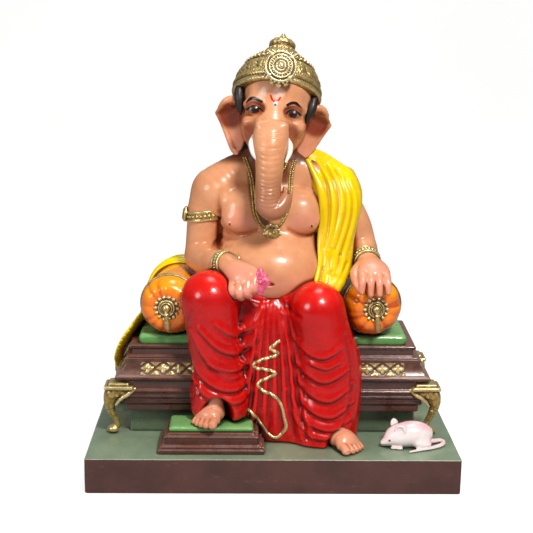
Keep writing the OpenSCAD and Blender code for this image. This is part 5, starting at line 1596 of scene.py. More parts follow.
class Paint:
    """A material built from nodes; each method adds a node and returns its output."""

    def __init__(self, name, rough=0.3, coat=0.3, coat_rough=0.1, metal=0.0, specular=0.5):
        self.material = bpy.data.materials.new(name)
        self.material.use_nodes = True
        self.tree = self.material.node_tree
        self.shader = self.tree.nodes["Principled BSDF"]
        self.shader.inputs["Roughness"].default_value = rough
        self.shader.inputs["Coat Weight"].default_value = coat
        self.shader.inputs["Coat Roughness"].default_value = coat_rough
        self.shader.inputs["Metallic"].default_value = metal
        self.shader.inputs["Specular IOR Level"].default_value = specular
        self.place = self.tree.nodes.new("ShaderNodeTexCoord").outputs["Object"]
        self.normal = self.tree.nodes.new("ShaderNodeNewGeometry").outputs["Normal"]

    def put(self, socket, value):
        if hasattr(value, "is_output"):
            self.tree.links.new(value, socket)
        else:
            socket.default_value = value

    def number(self, name):
        node = self.tree.nodes.new("ShaderNodeAttribute")
        node.attribute_name = name
        return node.outputs["Fac"]

    def noise(self, size_mm, detail=4.0, rough=0.55, squeeze=None):
        place = self.place
        if squeeze:
            node = self.tree.nodes.new("ShaderNodeMapping")
            node.inputs["Scale"].default_value = squeeze
            self.tree.links.new(place, node.inputs["Vector"])
            place = node.outputs["Vector"]
        node = self.tree.nodes.new("ShaderNodeTexNoise")
        node.inputs["Scale"].default_value = 1000 / size_mm
        node.inputs["Detail"].default_value = detail
        node.inputs["Roughness"].default_value = rough
        self.tree.links.new(place, node.inputs["Vector"])
        return node.outputs["Fac"]

    def maths(self, operation, a, b=0.0):
        node = self.tree.nodes.new("ShaderNodeMath")
        node.operation = operation
        self.put(node.inputs[0], a)
        self.put(node.inputs[1], b)
        return node.outputs[0]

    def between(self, value, low, high, start=0.0, end=1.0):
        """value from low..high carried smoothly to start..end."""
        node = self.tree.nodes.new("ShaderNodeMapRange")
        node.interpolation_type = "SMOOTHSTEP"
        for key, v in (("Value", value), ("From Min", low), ("From Max", high), ("To Min", start),
                       ("To Max", end)):
            self.put(node.inputs[key], v)
        return node.outputs["Result"]

    def part(self, axis, vector=None):
        node = self.tree.nodes.new("ShaderNodeSeparateXYZ")
        self.tree.links.new(self.normal if vector is None else vector, node.inputs[0])
        return node.outputs[axis]

    def mix(self, factor, a, b):
        node = self.tree.nodes.new("ShaderNodeMix")
        node.data_type = "RGBA"
        self.put(node.inputs["Factor"], factor)
        self.put(node.inputs[6], a)
        self.put(node.inputs[7], b)
        return node.outputs[2]

    def over(self, tone, value, low, high, most, code):
        """tone with up to most of another colour where value runs from low to high."""
        return self.mix(self.between(value, low, high, 0, most), tone, srgb(code))

    def grain(self, size_mm, detail, wide_mm, wide_detail, weight):
        """Fine and wide unevenness together, for a bump."""
        return self.maths("ADD", self.noise(size_mm, detail),
                          self.maths("MULTIPLY", self.noise(wide_mm, wide_detail), weight))

    def finish(self, colour, rough=None, bump=None, bump_mm=0.1, metal=None):
        self.put(self.shader.inputs["Base Color"], colour)
        if rough is not None:
            self.put(self.shader.inputs["Roughness"], rough)
        if metal is not None:
            self.put(self.shader.inputs["Metallic"], metal)
        if bump is not None:
            node = self.tree.nodes.new("ShaderNodeBump")
            node.inputs["Strength"].default_value = 1.0
            node.inputs["Distance"].default_value = bump_mm * MM
            self.put(node.inputs["Height"], bump)
            self.tree.links.new(node.outputs["Normal"], self.shader.inputs["Normal"])
        return self.material


def uneven_gloss(p, low, high, size_mm=9):
    """Brushed-on varnish: roughness that drifts over the surface."""
    return p.between(p.noise(size_mm, 3), 0.35, 0.65, low, high)


def skin_base(p):
    """Peach enamel with a pink blush, and brown that is painted shade as well as the real airbrushing: in the
    hollows, on down-facing surfaces and in a painted shadow beside the trunk.
    """
    tone = p.mix(p.between(p.noise(22, 3), 0.35, 0.65, 0, 1), srgb("#DC9C72"), srgb("#CF8C62"))
    blush = p.maths("MULTIPLY", p.number("blush"), p.between(p.noise(9, 3), 0.3, 0.7, 0.55, 1))
    tone = p.mix(blush, tone, srgb("#E38E7C"))
    # painted shade: surfaces that face down turn orange-brown
    under = p.between(p.part("Z"), -0.15, -0.9, 0, 0.55)
    tone = p.mix(under, tone, srgb("#CE7A3E"))
    # painted shade, with the real airbrushed brown: darker in large hollows and small recesses, and in
    # creases in the last mix
    tone = p.over(tone, p.number("hollow"), 0.15, 0.95, 0.75, "#A85A28")
    tone = p.over(tone, p.number("recess"), 0.06, 0.6, 0.8, "#A4521F")
    # painted shadow: dark brown beside the trunk and on the neck under the head
    tone = p.over(tone, p.number("painted_shadow"), 0, 1, 0.95, "#5A2C14")
    return p.mix(p.between(p.number("crease"), 0.22, 0.9, 0, 0.9), tone, srgb("#7A3414"))


def skin_paint():
    p = Paint("skin_enamel", coat=0.25, coat_rough=0.13, specular=0.4)
    tone = skin_base(p)
    tone = p.over(tone, p.number("dot"), 1.2, 0.9, 1, "#1A0C08")
    tone = p.over(tone, p.number("navel"), 0.6, -0.3, 1, "#8E2A22")
    bump = p.grain(1.1, 3, 7, 2, 1.5)
    return p.finish(tone, uneven_gloss(p, 0.27, 0.4), bump, 0.06)


def face_paint():
    p = Paint("face_enamel", coat=0.2, coat_rough=0.14, specular=0.35)
    tone = skin_base(p)
    rust = p.maths("MULTIPLY", p.between(p.number("socket"), 0, 1, 0, 0.92),
                   p.between(p.noise(3.5, 3), 0.2, 0.6, 0.85, 1))
    tone = p.mix(rust, tone, srgb("#8C3A1A"))
    tone = p.over(tone, p.number("cheek"), 0, 1, 0.8, "#9A4218")
    tone = p.over(tone, p.number("ear_well"), 0, 1, 0.92, "#7E280E")
    tone = p.mix(p.maths("MULTIPLY", p.number("smear"), p.between(p.noise(4, 3), 0.3, 0.7, 0.6, 1)),
                 tone, srgb("#F3C4B4"))
    edge = 0.10
    for name, colour in (("lower_lid", "#5E2414"), ("eye_white", "#8E6656"), ("iris", "#2A100A"),
                         ("lash", "#120806"), ("pupil", "#050303"), ("glint", "#FFFFFF"),
                         ("brow", "#22100A"), ("tilak", "#C41218"), ("nostril", "#5A1E10")):
        tone = p.mix(p.between(p.number(name), edge, -edge, 0, 1), tone, srgb(colour))
    bump = p.grain(1.1, 3, 7, 2, 1.5)
    return p.finish(tone, uneven_gloss(p, 0.27, 0.4), bump, 0.06)


# top is the painted highlight colour; shade and deep are painted shade colours
def cloth_paint(name, top, main, shade, deep, coat=0.45):
    """Enamelled cloth: a painted highlight where it faces up and on ridges, painted shade where it faces down
    and down the folds and hollows.
    """
    p = Paint(name, coat=coat, coat_rough=0.09, specular=0.35)
    # painted highlight: up-facing surfaces take the top colour
    tone = p.mix(p.between(p.part("Z"), 0.1, 0.95, 0, 1), srgb(main), srgb(top))
    # painted shade: down-facing surfaces darker
    tone = p.mix(p.between(p.part("Z"), -0.05, -0.75, 0, 0.8), tone, srgb(shade))
    tone = p.mix(p.between(p.noise(14, 3), 0.3, 0.75, 0, 0.25), tone, srgb(shade))
    # painted shade in hollows, recesses and creases, and a painted highlight on ridges
    tone = p.mix(p.between(p.number("hollow"), 0.2, 0.95, 0, 0.85), tone, srgb(shade))
    tone = p.mix(p.between(p.number("recess"), 0.02, 0.5, 0, 0.9), tone, srgb(shade))
    tone = p.mix(p.between(p.number("recess"), 0.3, 1.1, 0, 0.9), tone, srgb(deep))
    tone = p.mix(p.between(p.number("recess"), -0.1, -0.7, 0, 0.6), tone, srgb(top))
    tone = p.mix(p.between(p.number("crease"), 0.2, 0.85, 0, 0.95), tone, srgb(deep))
    bump = p.grain(1.6, 4, 8, 2, 2.0)
    return p.finish(tone, uneven_gloss(p, 0.2, 0.34), bump, 0.07)


def gold_paint(name="antique_gold", raised=None, pale=0.0):
    """Gilding with a brown wash left in every recess, which stands for painted shade there too, and painted
    highlights on up-facing surfaces and ridges.
    """
    p = Paint(name, coat=0.15, coat_rough=0.25, metal=0.55)
    tone = p.mix(p.between(p.noise(3.2, 4), 0.3, 0.7, 0, 1), srgb("#A07A38"), srgb("#CDB06A"))
    # painted highlight: up-facing surfaces paler
    tone = p.over(tone, p.part("Z"), 0.0, 0.9, 0.7, "#E8D494")
    if pale:
        tone = p.mix(pale, tone, srgb("#EDE2B4"))
    # brown wash in creases and recesses that is also painted shade, with random dark specks
    wash = p.between(p.number("crease"), 0.12, 0.62, 0, 0.92)
    speck = p.between(p.noise(1.2, 3), 0.30, 0.44, 0.75, 0)
    specks_wash_and_shade = p.maths("MAXIMUM", p.maths("MAXIMUM", wash, speck),
                   p.between(p.number("recess"), -0.02, 0.34, 0, 0.92))
    if raised:
        specks_wash_and_shade = p.maths("MAXIMUM", specks_wash_and_shade, p.between(p.number(raised), 0.45, 0.05, 0, 0.9))
    # painted highlight: ridges paler
    tone = p.over(tone, p.number("recess"), -0.15, -0.8, 0.7, "#F2E4AE")
    tone = p.mix(specks_wash_and_shade, tone, srgb("#4A2710"))
    metal = p.between(specks_wash_and_shade, 0.1, 0.8, 0.75, 0.1)
    rough = p.between(p.noise(2.2, 3), 0.3, 0.7, 0.26, 0.42)
    return p.finish(tone, rough, p.noise(0.9, 4, 0.6), 0.14, metal)


def brown_paint(name="brown_gloss", code="#3C1C14", light="#7A5044"):
    p = Paint(name, coat=0.55, coat_rough=0.1)
    tone = p.mix(p.between(p.noise(16, 4), 0.3, 0.7, 0, 1), srgb(code), srgb("#4C281F"))
    # painted highlight: up-facing surfaces take the light colour
    tone = p.mix(p.between(p.part("Z"), 0.25, 0.9, 0, 0.85), tone, srgb(light))
    # painted shade: down-facing surfaces near black
    tone = p.over(tone, p.part("Z"), -0.2, -0.8, 0.8, "#1A0C08")
    bump = p.grain(2.0, 4, 11, 3, 2.4)
    return p.finish(tone, uneven_gloss(p, 0.22, 0.38), bump, 0.1)


def frieze_paint():
    """Brown cove whose flowers and diamonds are gilded."""
    p = Paint("gilded_frieze", coat=0.3, coat_rough=0.15)
    brown = p.mix(p.between(p.noise(9, 4), 0.3, 0.7, 0, 1), srgb("#46261C"), srgb("#5E3A2E"))
    # painted highlight: up-facing brown lighter
    brown = p.mix(p.between(p.part("Z"), 0.3, 0.95, 0, 0.8), brown, srgb("#8E6A5C"))
    gold = p.mix(p.between(p.noise(3.0, 4), 0.3, 0.7, 0, 1), srgb("#B89653"), srgb("#E6D79C"))
    # where the relief is low the gold turns brown: the gilding's wash and painted shade
    gold = p.mix(p.between(p.number("raise"), 0.5, 0.1, 0, 0.85), gold, srgb("#6A451E"))
    speck = p.between(p.noise(1.4, 3), 0.30, 0.42, 0.7, 0)
    gold = p.mix(speck, gold, srgb("#4A2710"))
    on = p.between(p.number("gilt"), 0.2, 0.6, 0, 1)
    tone = p.mix(on, brown, gold)
    return p.finish(tone, p.between(p.noise(5, 3), 0.3, 0.7, 0.25, 0.42), p.noise(1.1, 4), 0.1,
                    p.between(on, 0, 1, 0, 0.5))


def slab_paint():
    """Brown sides under a grey-green deck with painted shade in its creases and hollows, and a pale line
    along its rounded top edge.
    """
    p = Paint("slab_enamel", coat=0.2, coat_rough=0.2)
    side = p.mix(p.between(p.noise(30, 5), 0.3, 0.7, 0, 1), srgb("#432620"), srgb("#553029"))
    side = p.mix(p.between(p.noise(4, 4, squeeze=(0.35, 1, 1)), 0.62, 0.75, 0, 0.4), side, srgb("#6E4A40"))
    deck = p.mix(p.between(p.noise(26, 5), 0.3, 0.7, 0, 1), srgb("#74856F"), srgb("#829479"))
    deck = p.mix(p.between(p.noise(5, 5, 0.65), 0.55, 0.8, 0, 0.5), deck, srgb("#91A088"))
    # painted shade on the deck: darker in creases and hollows round the throne and the figure
    deck = p.mix(p.between(p.number("crease"), 0.25, 0.9, 0, 0.8), deck, srgb("#39452F"))
    deck = p.mix(p.between(p.number("hollow"), 0.25, 0.9, 0, 0.6), deck, srgb("#4C5A44"))
    up = p.between(p.part("Z"), 0.55, 0.75, 0, 1)
    tone = p.mix(up, side, deck)
    # pale line on the sloping faces of the rounded top edge
    rim = p.maths("MULTIPLY", p.between(p.part("Z"), 0.25, 0.6, 0, 1),
                  p.between(p.part("Z"), 0.99, 0.8, 0, 1))
    tone = p.mix(p.maths("MULTIPLY", rim, p.between(p.noise(3, 3), 0.3, 0.6, 0.4, 1)), tone, srgb("#A9B29C"))
    bump = p.grain(2.4, 4, 14, 3, 2)
    return p.finish(tone, p.between(p.noise(10, 3), 0.3, 0.7, 0.3, 0.48), bump, 0.12)


def green_paint():
    p = Paint("green_enamel", coat=0.35, coat_rough=0.12)
    # painted highlight: up-facing surfaces lighter green
    tone = p.mix(p.between(p.part("Z"), 0.2, 0.9, 0, 1), srgb("#4F8A42"), srgb("#7FB26C"))
    tone = p.over(tone, p.noise(12, 4), 0.3, 0.75, 0.4, "#6A9F58")
    # painted shade in hollows and creases
    tone = p.over(tone, p.number("hollow"), 0.25, 0.9, 0.75, "#2B5524")
    tone = p.over(tone, p.number("crease"), 0.25, 0.9, 0.8, "#173414")
    bump = p.grain(1.8, 4, 10, 3, 2)
    return p.finish(tone, uneven_gloss(p, 0.24, 0.38), bump, 0.08)


def orange_paint():
    p = Paint("orange_enamel", coat=0.5, coat_rough=0.08)
    # painted highlight: up-facing surfaces lighter orange
    tone = p.mix(p.between(p.part("Z"), -0.2, 0.7, 0, 1), srgb("#F0780A"), srgb("#FF9E10"))
    # painted shade together with the real airbrushed red-orange on down-facing surfaces; painted shade in the
    # gathers and hollows below
    tone = p.over(tone, p.part("Z"), -0.2, -0.85, 0.85, "#B83C00")
    tone = p.over(tone, p.number("fold"), -0.45, -1.5, 0.85, "#B83A00")
    tone = p.over(tone, p.number("hollow"), 0.25, 0.9, 0.8, "#962800")
    tone = p.over(tone, p.noise(8, 4), 0.4, 0.8, 0.3, "#E85E00")
    bump = p.grain(1.6, 4, 8, 3, 1.5)
    return p.finish(tone, uneven_gloss(p, 0.18, 0.3), bump, 0.07)


def plain_enamel(name, light, dark, deep, coat=0.35, size=5.0, rough=(0.25, 0.4), grain=None):
    p = Paint(name, coat=coat, coat_rough=0.12)
    tone = p.mix(p.between(p.noise(size, 4), 0.3, 0.7, 0, 1), srgb(dark), srgb(light))
    # painted shade in creases
    tone = p.mix(p.between(p.number("crease"), 0.2, 0.85, 0, 0.9), tone, srgb(deep))
    return p.finish(tone, uneven_gloss(p, *rough), p.noise(1.2, 4, squeeze=grain), 0.08)


def mouse_paint():
    p = Paint("mouse_enamel", coat=0.4, coat_rough=0.1)
    tone = p.mix(p.between(p.noise(7, 4), 0.3, 0.7, 0, 1), srgb("#E9E2E0"), srgb("#F6F0EE"))
    pink = p.maths("MULTIPLY", p.between(p.part("Z"), 0.1, 0.8, 0.15, 1),
                   p.between(p.noise(5, 4, squeeze=(0.4, 1, 1)), 0.3, 0.7, 0.35, 1))
    tone = p.mix(pink, tone, srgb("#F0B4BA"))
    # painted shade: grey on down-facing surfaces and darker in creases
    tone = p.over(tone, p.part("Z"), 0.0, -0.7, 0.7, "#A9AAA4")
    tone = p.over(tone, p.number("crease"), 0.3, 0.9, 0.8, "#77716A")
    tone = p.over(tone, p.number("dot"), 1.1, 0.8, 1, "#7E2426")
    return p.finish(tone, uneven_gloss(p, 0.22, 0.34), p.noise(1.2, 4), 0.07)


# ---------------------------------------------------------------- painted features
def line_distance(x, z, path):
    """Distance in the front view to a smooth line through [x, z] points."""
    pts = smoothed(path, 6)
    best = np.full(len(x), 1e6)
    for a, b in zip(pts[:-1], pts[1:]):
        best = np.minimum(best, segment_gap(x, z, a, b))
    return np.sqrt(best)


def almond(x, z, centre, wide, tall, tilt):
    """Distance in the front view to a pointed oval."""
    q = math.radians(tilt)
    u = (x - centre[0]) * math.cos(q) + (z - centre[1]) * math.sin(q)
    v = -(x - centre[0]) * math.sin(q) + (z - centre[1]) * math.cos(q)
    r = (wide ** 2 + tall ** 2) / (2 * tall)
    return np.maximum(np.hypot(u, v + r - tall), np.hypot(u, v - r + tall)) - r


def paint_face(obj):
    p, n = mesh_arrays(obj)
    x, y, z = p.T
    front = n[:, 1] < 0.1
    away = np.where(front & (np.abs(z - 300) < 26), 0.0, UNPAINTED)

    def store(name, values):
        tint(obj, name, values + away)
    eyes = (((-17.2, 299.4), 5.4, 2.5, 4), ((13.9, 296.0), 5.2, 2.5, -9))
    store("eye_white", np.minimum(*[almond(x, z, c, w, t, q) for c, w, t, q in eyes]))
    rim = [np.abs(almond(x, z, c, w, t, q)) - 0.32 for c, w, t, q in eyes]
    upper = [line_distance(x, z, [[-23.4, 298.6], [-20.6, 301.6], [-16.6, 302.4], [-11.2, 299.2]]) - 0.55,
             line_distance(x, z, [[8.2, 296.8], [11.4, 299.2], [15.4, 298.8], [20.0, 295.0]]) - 0.55]
    store("lash", np.minimum(*upper) - 0.15)
    store("lower_lid", np.minimum(*rim) + 0.05)
    store("iris", np.maximum(np.minimum(np.hypot(x + 16.6, z - 299.6), np.hypot(x - 13.6, z - 296.3)) - 3.3,
                             np.minimum(*[almond(x, z, c, w, t, q) for c, w, t, q in eyes])))
    store("pupil", np.minimum(np.hypot(x + 16.6, z - 299.8), np.hypot(x - 13.6, z - 296.5)) - 1.25)
    store("glint", np.minimum(np.hypot(x + 15.9, z - 300.7), np.hypot(x - 14.3, z - 297.4)) - 0.42)
    brow = [line_distance(x, z, [[-24.0, 304.0], [-21.4, 307.4], [-17.4, 308.6], [-11.7, 306.3]]),
            line_distance(x, z, [[9.0, 303.6], [12.4, 305.2], [16.2, 304.6], [20.9, 300.6]])]
    thick = np.where(x < 0, 1.0 * step_up(-25, -20, x), 1.0 * (1 - step_up(16, 21.5, x))) + 0.2
    store("brow", np.minimum(*brow) - thick)
    tilak = [[-4.5, 311.2], [-3.2, 307.9], [-0.8, 306.8], [1.6, 307.6], [3.1, 309.6]]
    store("tilak", line_distance(x, z, tilak) - 0.75)
    near_eye = np.minimum(np.hypot((x + 16.8) / 9.6, (z - 301.4) / 6.6),
                          np.hypot((x - 14.2) / 9.4, (z - 298.2) / 6.4))
    tint(obj, "socket", (1 - step_up(0.45, 1.2, near_eye)) * front)
    cheek = np.minimum(np.hypot((x + 21) / 6.5, (z - 280) / 13), np.hypot((x - 13) / 6.5, (z - 279) / 13))
    tint(obj, "cheek", (1 - step_up(0.4, 1.15, cheek)) * (y > -36) * (y < -8))
    well = np.minimum(np.hypot((x + 36.5) / 12, (z - 292) / 12), np.hypot((x - 34) / 12, (z - 285.5) / 12))
    tint(obj, "ear_well", (1 - step_up(0.55, 1.2, well)) * (n[:, 1] < 0.2))
    tint(obj, "smear", (1 - step_up(0.4, 1.1, np.hypot((x - 1.5) / 6, (z - 313) / 6))) * front)
    tip = np.hypot(np.hypot(x - 10.4, z - 237), y + 49)
    # painted shade: the lower trunk darkened, and a painted shadow on the neck under the head
    low_trunk = (1 - step_up(236, 268, z)) * (np.abs(x + 1) < 15) * (y < -30)
    neck = (1 - step_up(262, 268, z)) * (y > -24) * (np.abs(x + 2) < 20)
    tint(obj, "painted_shadow", np.maximum(0.5 * low_trunk, 0.8 * neck))
    tint(obj, "nostril", tip - 1.5)
    lobes = np.minimum(np.hypot(x + 34, z - 266), np.hypot(x - 26, z - 260))
    tint(obj, "blush", 0.55 * (1 - step_up(5, 22, lobes)) + 0.3 * (1 - step_up(4, 14, np.abs(z - 226))))


def paint_body(obj, nipples, navel):
    p, _ = mesh_arrays(obj)
    x, y, z = p.T
    dot = np.full(len(x), UNPAINTED)
    for spot in nipples:
        dot = np.minimum(dot, np.linalg.norm(p - spot, axis=1))
    tint(obj, "dot", dot)
    oval = np.hypot((x - navel[0]) / 3.0, (z - navel[2]) / 1.1) - 1
    tint(obj, "navel", oval + np.where(y > 0, UNPAINTED, 0))
    # painted shadow: a dark strip down the chest beside the trunk, and the neck darkened under the head
    beside = np.minimum(line_distance(x, z, [[-19, 262], [-18, 246], [-16.5, 230], [-13, 214], [-8, 208]]),
                        line_distance(x, z, [[9, 260], [8, 248], [7, 240]])) / 5.5
    tint(obj, "painted_shadow", np.maximum(0.85 * (1 - step_up(0.4, 1.25, beside)), step_up(250, 258, z)) * (y < 12))
    chest = np.minimum(np.hypot((x + 30) / 17, (z - 208) / 14), np.hypot((x - 24) / 17, (z - 207) / 14))
    belly = np.hypot((x + 2) / 34, (z - 158) / 15)
    hands = np.minimum(np.linalg.norm(p - vec(-26, -62, 166), axis=1),
                       np.linalg.norm(p - vec(80, -42, 163), axis=1)) / 22
    tint(obj, "blush", 0.6 * (1 - step_up(0.3, 1.1, chest)) + 0.45 * (1 - step_up(0.4, 1.1, belly))
         + 0.75 * (1 - step_up(0.5, 1.1, hands)))


# ---------------------------------------------------------------- putting it together
PIECES = []


def piece(obj, material, slot, *nodes):
    """Gives a finished object its material and body and hides the CAD nodes it stands for; slot is not used.
    """
    obj.data.materials.append(material)
    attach(obj, "root")
    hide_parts(*nodes)
    PIECES.append(obj)
    return obj


def whole_parts(points, quads):
    """Drops crumbs: only connected parts with a fair share of the points stay."""
    label = np.arange(len(points))
    for _ in range(400):
        new = label.copy()
        np.minimum.at(new, quads.ravel(), np.repeat(label[quads].min(1), 4))
        new = new[new]
        if np.array_equal(new, label):
            break
        label = new
    keep = np.bincount(label, minlength=len(points))[label] > 0.02 * len(points)
    number = np.cumsum(keep) - 1
    return points[keep], number[quads[keep[quads[:, 0]]]]


def cast(clay, name, reach=2):
    """Mesh of the clay, told how far each point lies in a groove (above 0) or on a ridge."""
    points, quads = whole_parts(*skin(clay))
    solid = np.clip(0.5 - clay.d / clay.step, 0, 1)
    solid = box_blur(box_blur(solid, reach), reach)
    o = mesh_object(name, points, quads)
    tint(o, "recess", (read(solid, clay.low, clay.step, points) - 0.5) * 4)
    return o


def cast_all(material, slot, *rows):
    """Pieces of one material; each row is a clay, the piece's name and its CAD node."""
    for clay, name, node in rows:
        piece(cast(clay, name), material, slot, node)


def build_everything():
    skin_mat, face_mat, gold = skin_paint(), face_paint(), gold_paint()
    brown, green, orange = brown_paint(), green_paint(), orange_paint()
    # cloth colours: painted highlight, main colour, painted shade, deep painted shade
    red = cloth_paint("red_enamel", "#DE1C12", "#BE0808", "#860202", "#3C0000", coat=0.22)
    yellow = cloth_paint("yellow_enamel", "#F2D800", "#E8C600", "#C48A00", "#845400", coat=0.22)

    # figure
    body = sculpt_hands(sculpt_body())
    nipples = body.snap(in_view(-36.5, 206.5, 30.5, 205.5))
    navel = body.snap([[-3, 0, 161.5]])[0]
    dhoti = sculpt_dhoti(body)
    head = sculpt_head()
    foot_right = sculpt_foot((-48, -58, 70), (-48.5, -57.5, 0), (-55, -71.5, 0), STOOL_TOP, 1)
    foot_left = sculpt_foot((52.5, -54, 48), (53.5, -57, 0), (63.5, -72.5, 0), DECK, -1)
    hair = sculpt_hair(head)
    shawl_front = sculpt_shawl_front(body)
    shawl_back = sculpt_shawl_back(body)
    middle, ahead, _ = bolster_frame(-1)
    shawl_tail = sculpt_shawl_tail((middle - ahead * 43, middle + ahead * 43))
    hem = sculpt_hem(dhoti)
    crown_rim, crown, medallion = sculpt_crown_rim(), sculpt_crown(), sculpt_medallion()
    tusk_right = sculpt_tusk([[-16.4, -30, 278], [-18.6, -36, 274], [-18.2, -41, 269],
                              [-16.2, -44, 264.5], [-13.6, -46, 261]], 3.3)
    tusk_left = sculpt_tusk([[8.4, -31, 276], [10.6, -37, 272.5], [10.6, -41, 268], [9.2, -44, 264],
                             [7.4, -46, 260.8]], 2.9)
    flower = sculpt_flower()
    pendant = sculpt_pendant(body)
    armlet = sculpt_armlet(body)
    bracelet_right = cuff(body, (-40.5, -39.5, 177.2), (0.55, -0.8, 0.14), 4.6, 13.5, 1.2, 26, 1.1)
    bracelet_left = cuff(body, (77, -16, 175), (0.08, -0.97, -0.2), 4.6, 15, 1.2, 26, 1.1)
    mouse, mouse_ears, mouse_tail = sculpt_mouse(), sculpt_mouse_ears(), sculpt_mouse_tail()
    throne_feet = [("front_left", -1, -36, 1), ("front_right", 1, -36, 1),
                   ("back_left", -1, 49, -1), ("back_right", 1, 49, -1)]
    feet_clay = [(name, sculpt_throne_foot(sx, y, out)) for name, sx, y, out in throne_feet]

    figure = piece(cast(body, "figure_body"), skin_mat, "skin_paint", "torso", "arm_left", "arm_right",
                   "hand_left", "hand_right")
    paint_body(figure, nipples, navel)
    face = piece(cast(head, "figure_head"), face_mat, "skin_paint", "head", "trunk", "ear_left",
                 "ear_right")
    paint_face(face)
    piece(cast(dhoti, "dhoti_cloth"), red, "red_paint", "dhoti_waist", "dhoti_leg_left",
          "dhoti_leg_right", "dhoti_pleats")
    cast_all(gold, "gold_paint", (hem, "dhoti_hem_edging", "dhoti_gold_hem"))
    for clay, side in ((foot_right, "right"), (foot_left, "left")):
        foot_piece = piece(cast(clay, "bare_foot_" + side), skin_mat, "skin_paint", "foot_" + side)
        for key, value in (("dot", UNPAINTED), ("navel", UNPAINTED), ("blush", 0.45)):
            tint(foot_piece, key, np.full(len(foot_piece.data.vertices), value))
    black = plain_enamel("black_hair", "#2A1C16", "#120A08", "#050303", coat=0.08, rough=(0.4, 0.55),
                         grain=(1, 1, 0.15))
    cast_all(black, "black_paint", (hair, "hair_locks", "hair"))
    cast_all(yellow, "yellow_paint", (shawl_front, "shawl_front_folds", "shawl_front"),
             (shawl_back, "shawl_back_folds", "shawl_back"),
             (shawl_tail, "shawl_tail_folds", "shawl_tail"))
    cast_all(gold, "gold_paint", (crown_rim, "crown_rim_band", "crown_rim"),
             (crown, "crown_chased", "crown_dome"))
    cast_all(gold_paint("pale_gold", pale=0.6), "gold_paint", (medallion, "crown_plaque", "crown_medallion"))
    ivory = plain_enamel("ivory_enamel", "#FBF8F0", "#EFE9DA", "#B79C7A", size=9)
    cast_all(ivory, "ivory_paint", (tusk_right, "tusk_right_cast", "tusk_right"),
             (tusk_left, "tusk_left_cast", "tusk_left"))
    cast_all(plain_enamel("pink_enamel", "#E4708C", "#C23A5E", "#7C1230"), "pink_paint",
             (flower, "flower_bloom", "flower"))
    build_jewel(head)
    long, short = build_necklaces(body)
    piece(long, gold, "gold_paint", "long_necklace")
    piece(short, gold, "gold_paint", "short_necklace")
    cast_all(gold, "gold_paint", (pendant, "pendant_cast", "pendant"), (armlet, "armlet_cast", "armlet"),
             (bracelet_right, "bangle_right", "bracelet_right"),
             (bracelet_left, "bangle_left", "bracelet_left"))
    mouse_mat = mouse_paint()
    for clay, name, node in ((mouse, "mouse_cast", "mouse_body"),
                             (mouse_ears, "mouse_ear_pair", "mouse_ears"),
                             (mouse_tail, "mouse_tail_cast", "mouse_tail")):
        o = piece(cast(clay, name), mouse_mat, "mouse_paint", node)
        p, _ = mesh_arrays(o)
        tint(o, "dot", np.linalg.norm(p - vec(94.8, -66.4, DECK + 7.6), axis=1))

    # throne, bolsters, footstool and slab
    piece(build_slab(), slab_paint(), "brown_paint", "base_slab")
    plinth, lower, cornice = build_mouldings()
    # the plinth is painted the deck's green, darkened here as painted shade under the throne's overhang
    plinth_shaded_green = plain_enamel("plinth_enamel", "#5C6A52", "#4C5A44", "#222A1E", size=24)
    piece(plinth, plinth_shaded_green, "plinth_paint", "plinth_block")
    piece(lower, brown, "brown_paint", "lower_moulding")
    piece(cornice, brown, "brown_paint", "cornice")
    piece(build_frieze(), frieze_paint(), "gold_paint", "frieze", "frieze_quatrefoils")
    for name, clay in feet_clay:
        piece(cast(clay, "cabriole_" + name), gold, "gold_paint", "throne_foot_" + name)
    piece(build_cushion("seat_pad", "seat_cushion", 0.5, 31), green, "green_paint", "seat_cushion")
    piece(build_stool(), brown, "brown_paint", "footstool_base")
    piece(build_cushion("footstool_pad", "footstool_cushion", 0.1, 37, corner=1.6), green, "green_paint",
          "footstool_cushion")
    bands = []
    for side, name in ((-1, "left"), (1, "right")):
        piece(build_bolster("bolster_gathered_" + name, side, 41 + side), orange, "orange_paint",
              "bolster_" + name)
        bands.append(build_band("bolster_braid_" + name, side))
        cast_all(gold, "gold_paint", (sculpt_rosette(side), "rosette_cast_" + name, "rosette_" + name),
                 (sculpt_tassel(side), "tassel_cast_" + name, "tassel_" + name))
    braid = gold_paint("braid_gold", raised=None)
    for o in bands:
        piece(o, braid, "gold_paint", "bolster_bands")
    fine, coarse = crowding()
    for o in PIECES:
        shade_by_crowding(o, fine, coarse)


def build_jewel(head):
    """White forehead jewel with a teal bead."""
    at = head.snap([[-1, 0, 304.4]])[0]
    c = Clay(at - 4, at + 4, 0.3)
    c.add(ball(at + vec(0, -0.2, 0), (1.9, 1.2, 1.9)))
    c.add(ball(at + vec(0, -1.2, 0), (0.95, 0.8, 0.95)), 0.1)
    o = cast(c, "forehead_bindi")
    p, _ = mesh_arrays(o)
    tint(o, "teal", np.hypot(p[:, 0] - at[0], p[:, 2] - at[2]) - 0.95)
    paint = Paint("jewel_enamel", coat=0.6, coat_rough=0.05)
    tone = paint.mix(paint.between(paint.noise(1.5, 3), 0.3, 0.7, 0, 1), srgb("#F4F4F2"), srgb("#DCE4E4"))
    tone = paint.mix(paint.between(paint.number("teal"), 0.12, -0.12, 0, 1), tone, srgb("#1F8496"))
    piece(o, paint.finish(tone, 0.15, paint.noise(0.8, 3), 0.03), "jewel_paint", "forehead_jewel")


# ---------------------------------------------------------------- studio
DIM_WORLD = 0.13      # light from the surroundings, where the camera sees 1
FLOOR_GLOW = 0.78     # white added to the floor, for the camera only


def aimed(right, up, forward, place):
    """Matrix of a camera or lamp at place that looks along forward."""
    return Matrix([[right[i], up[i], -forward[i], place[i]] for i in range(3)] + [[0, 0, 0, 1]])


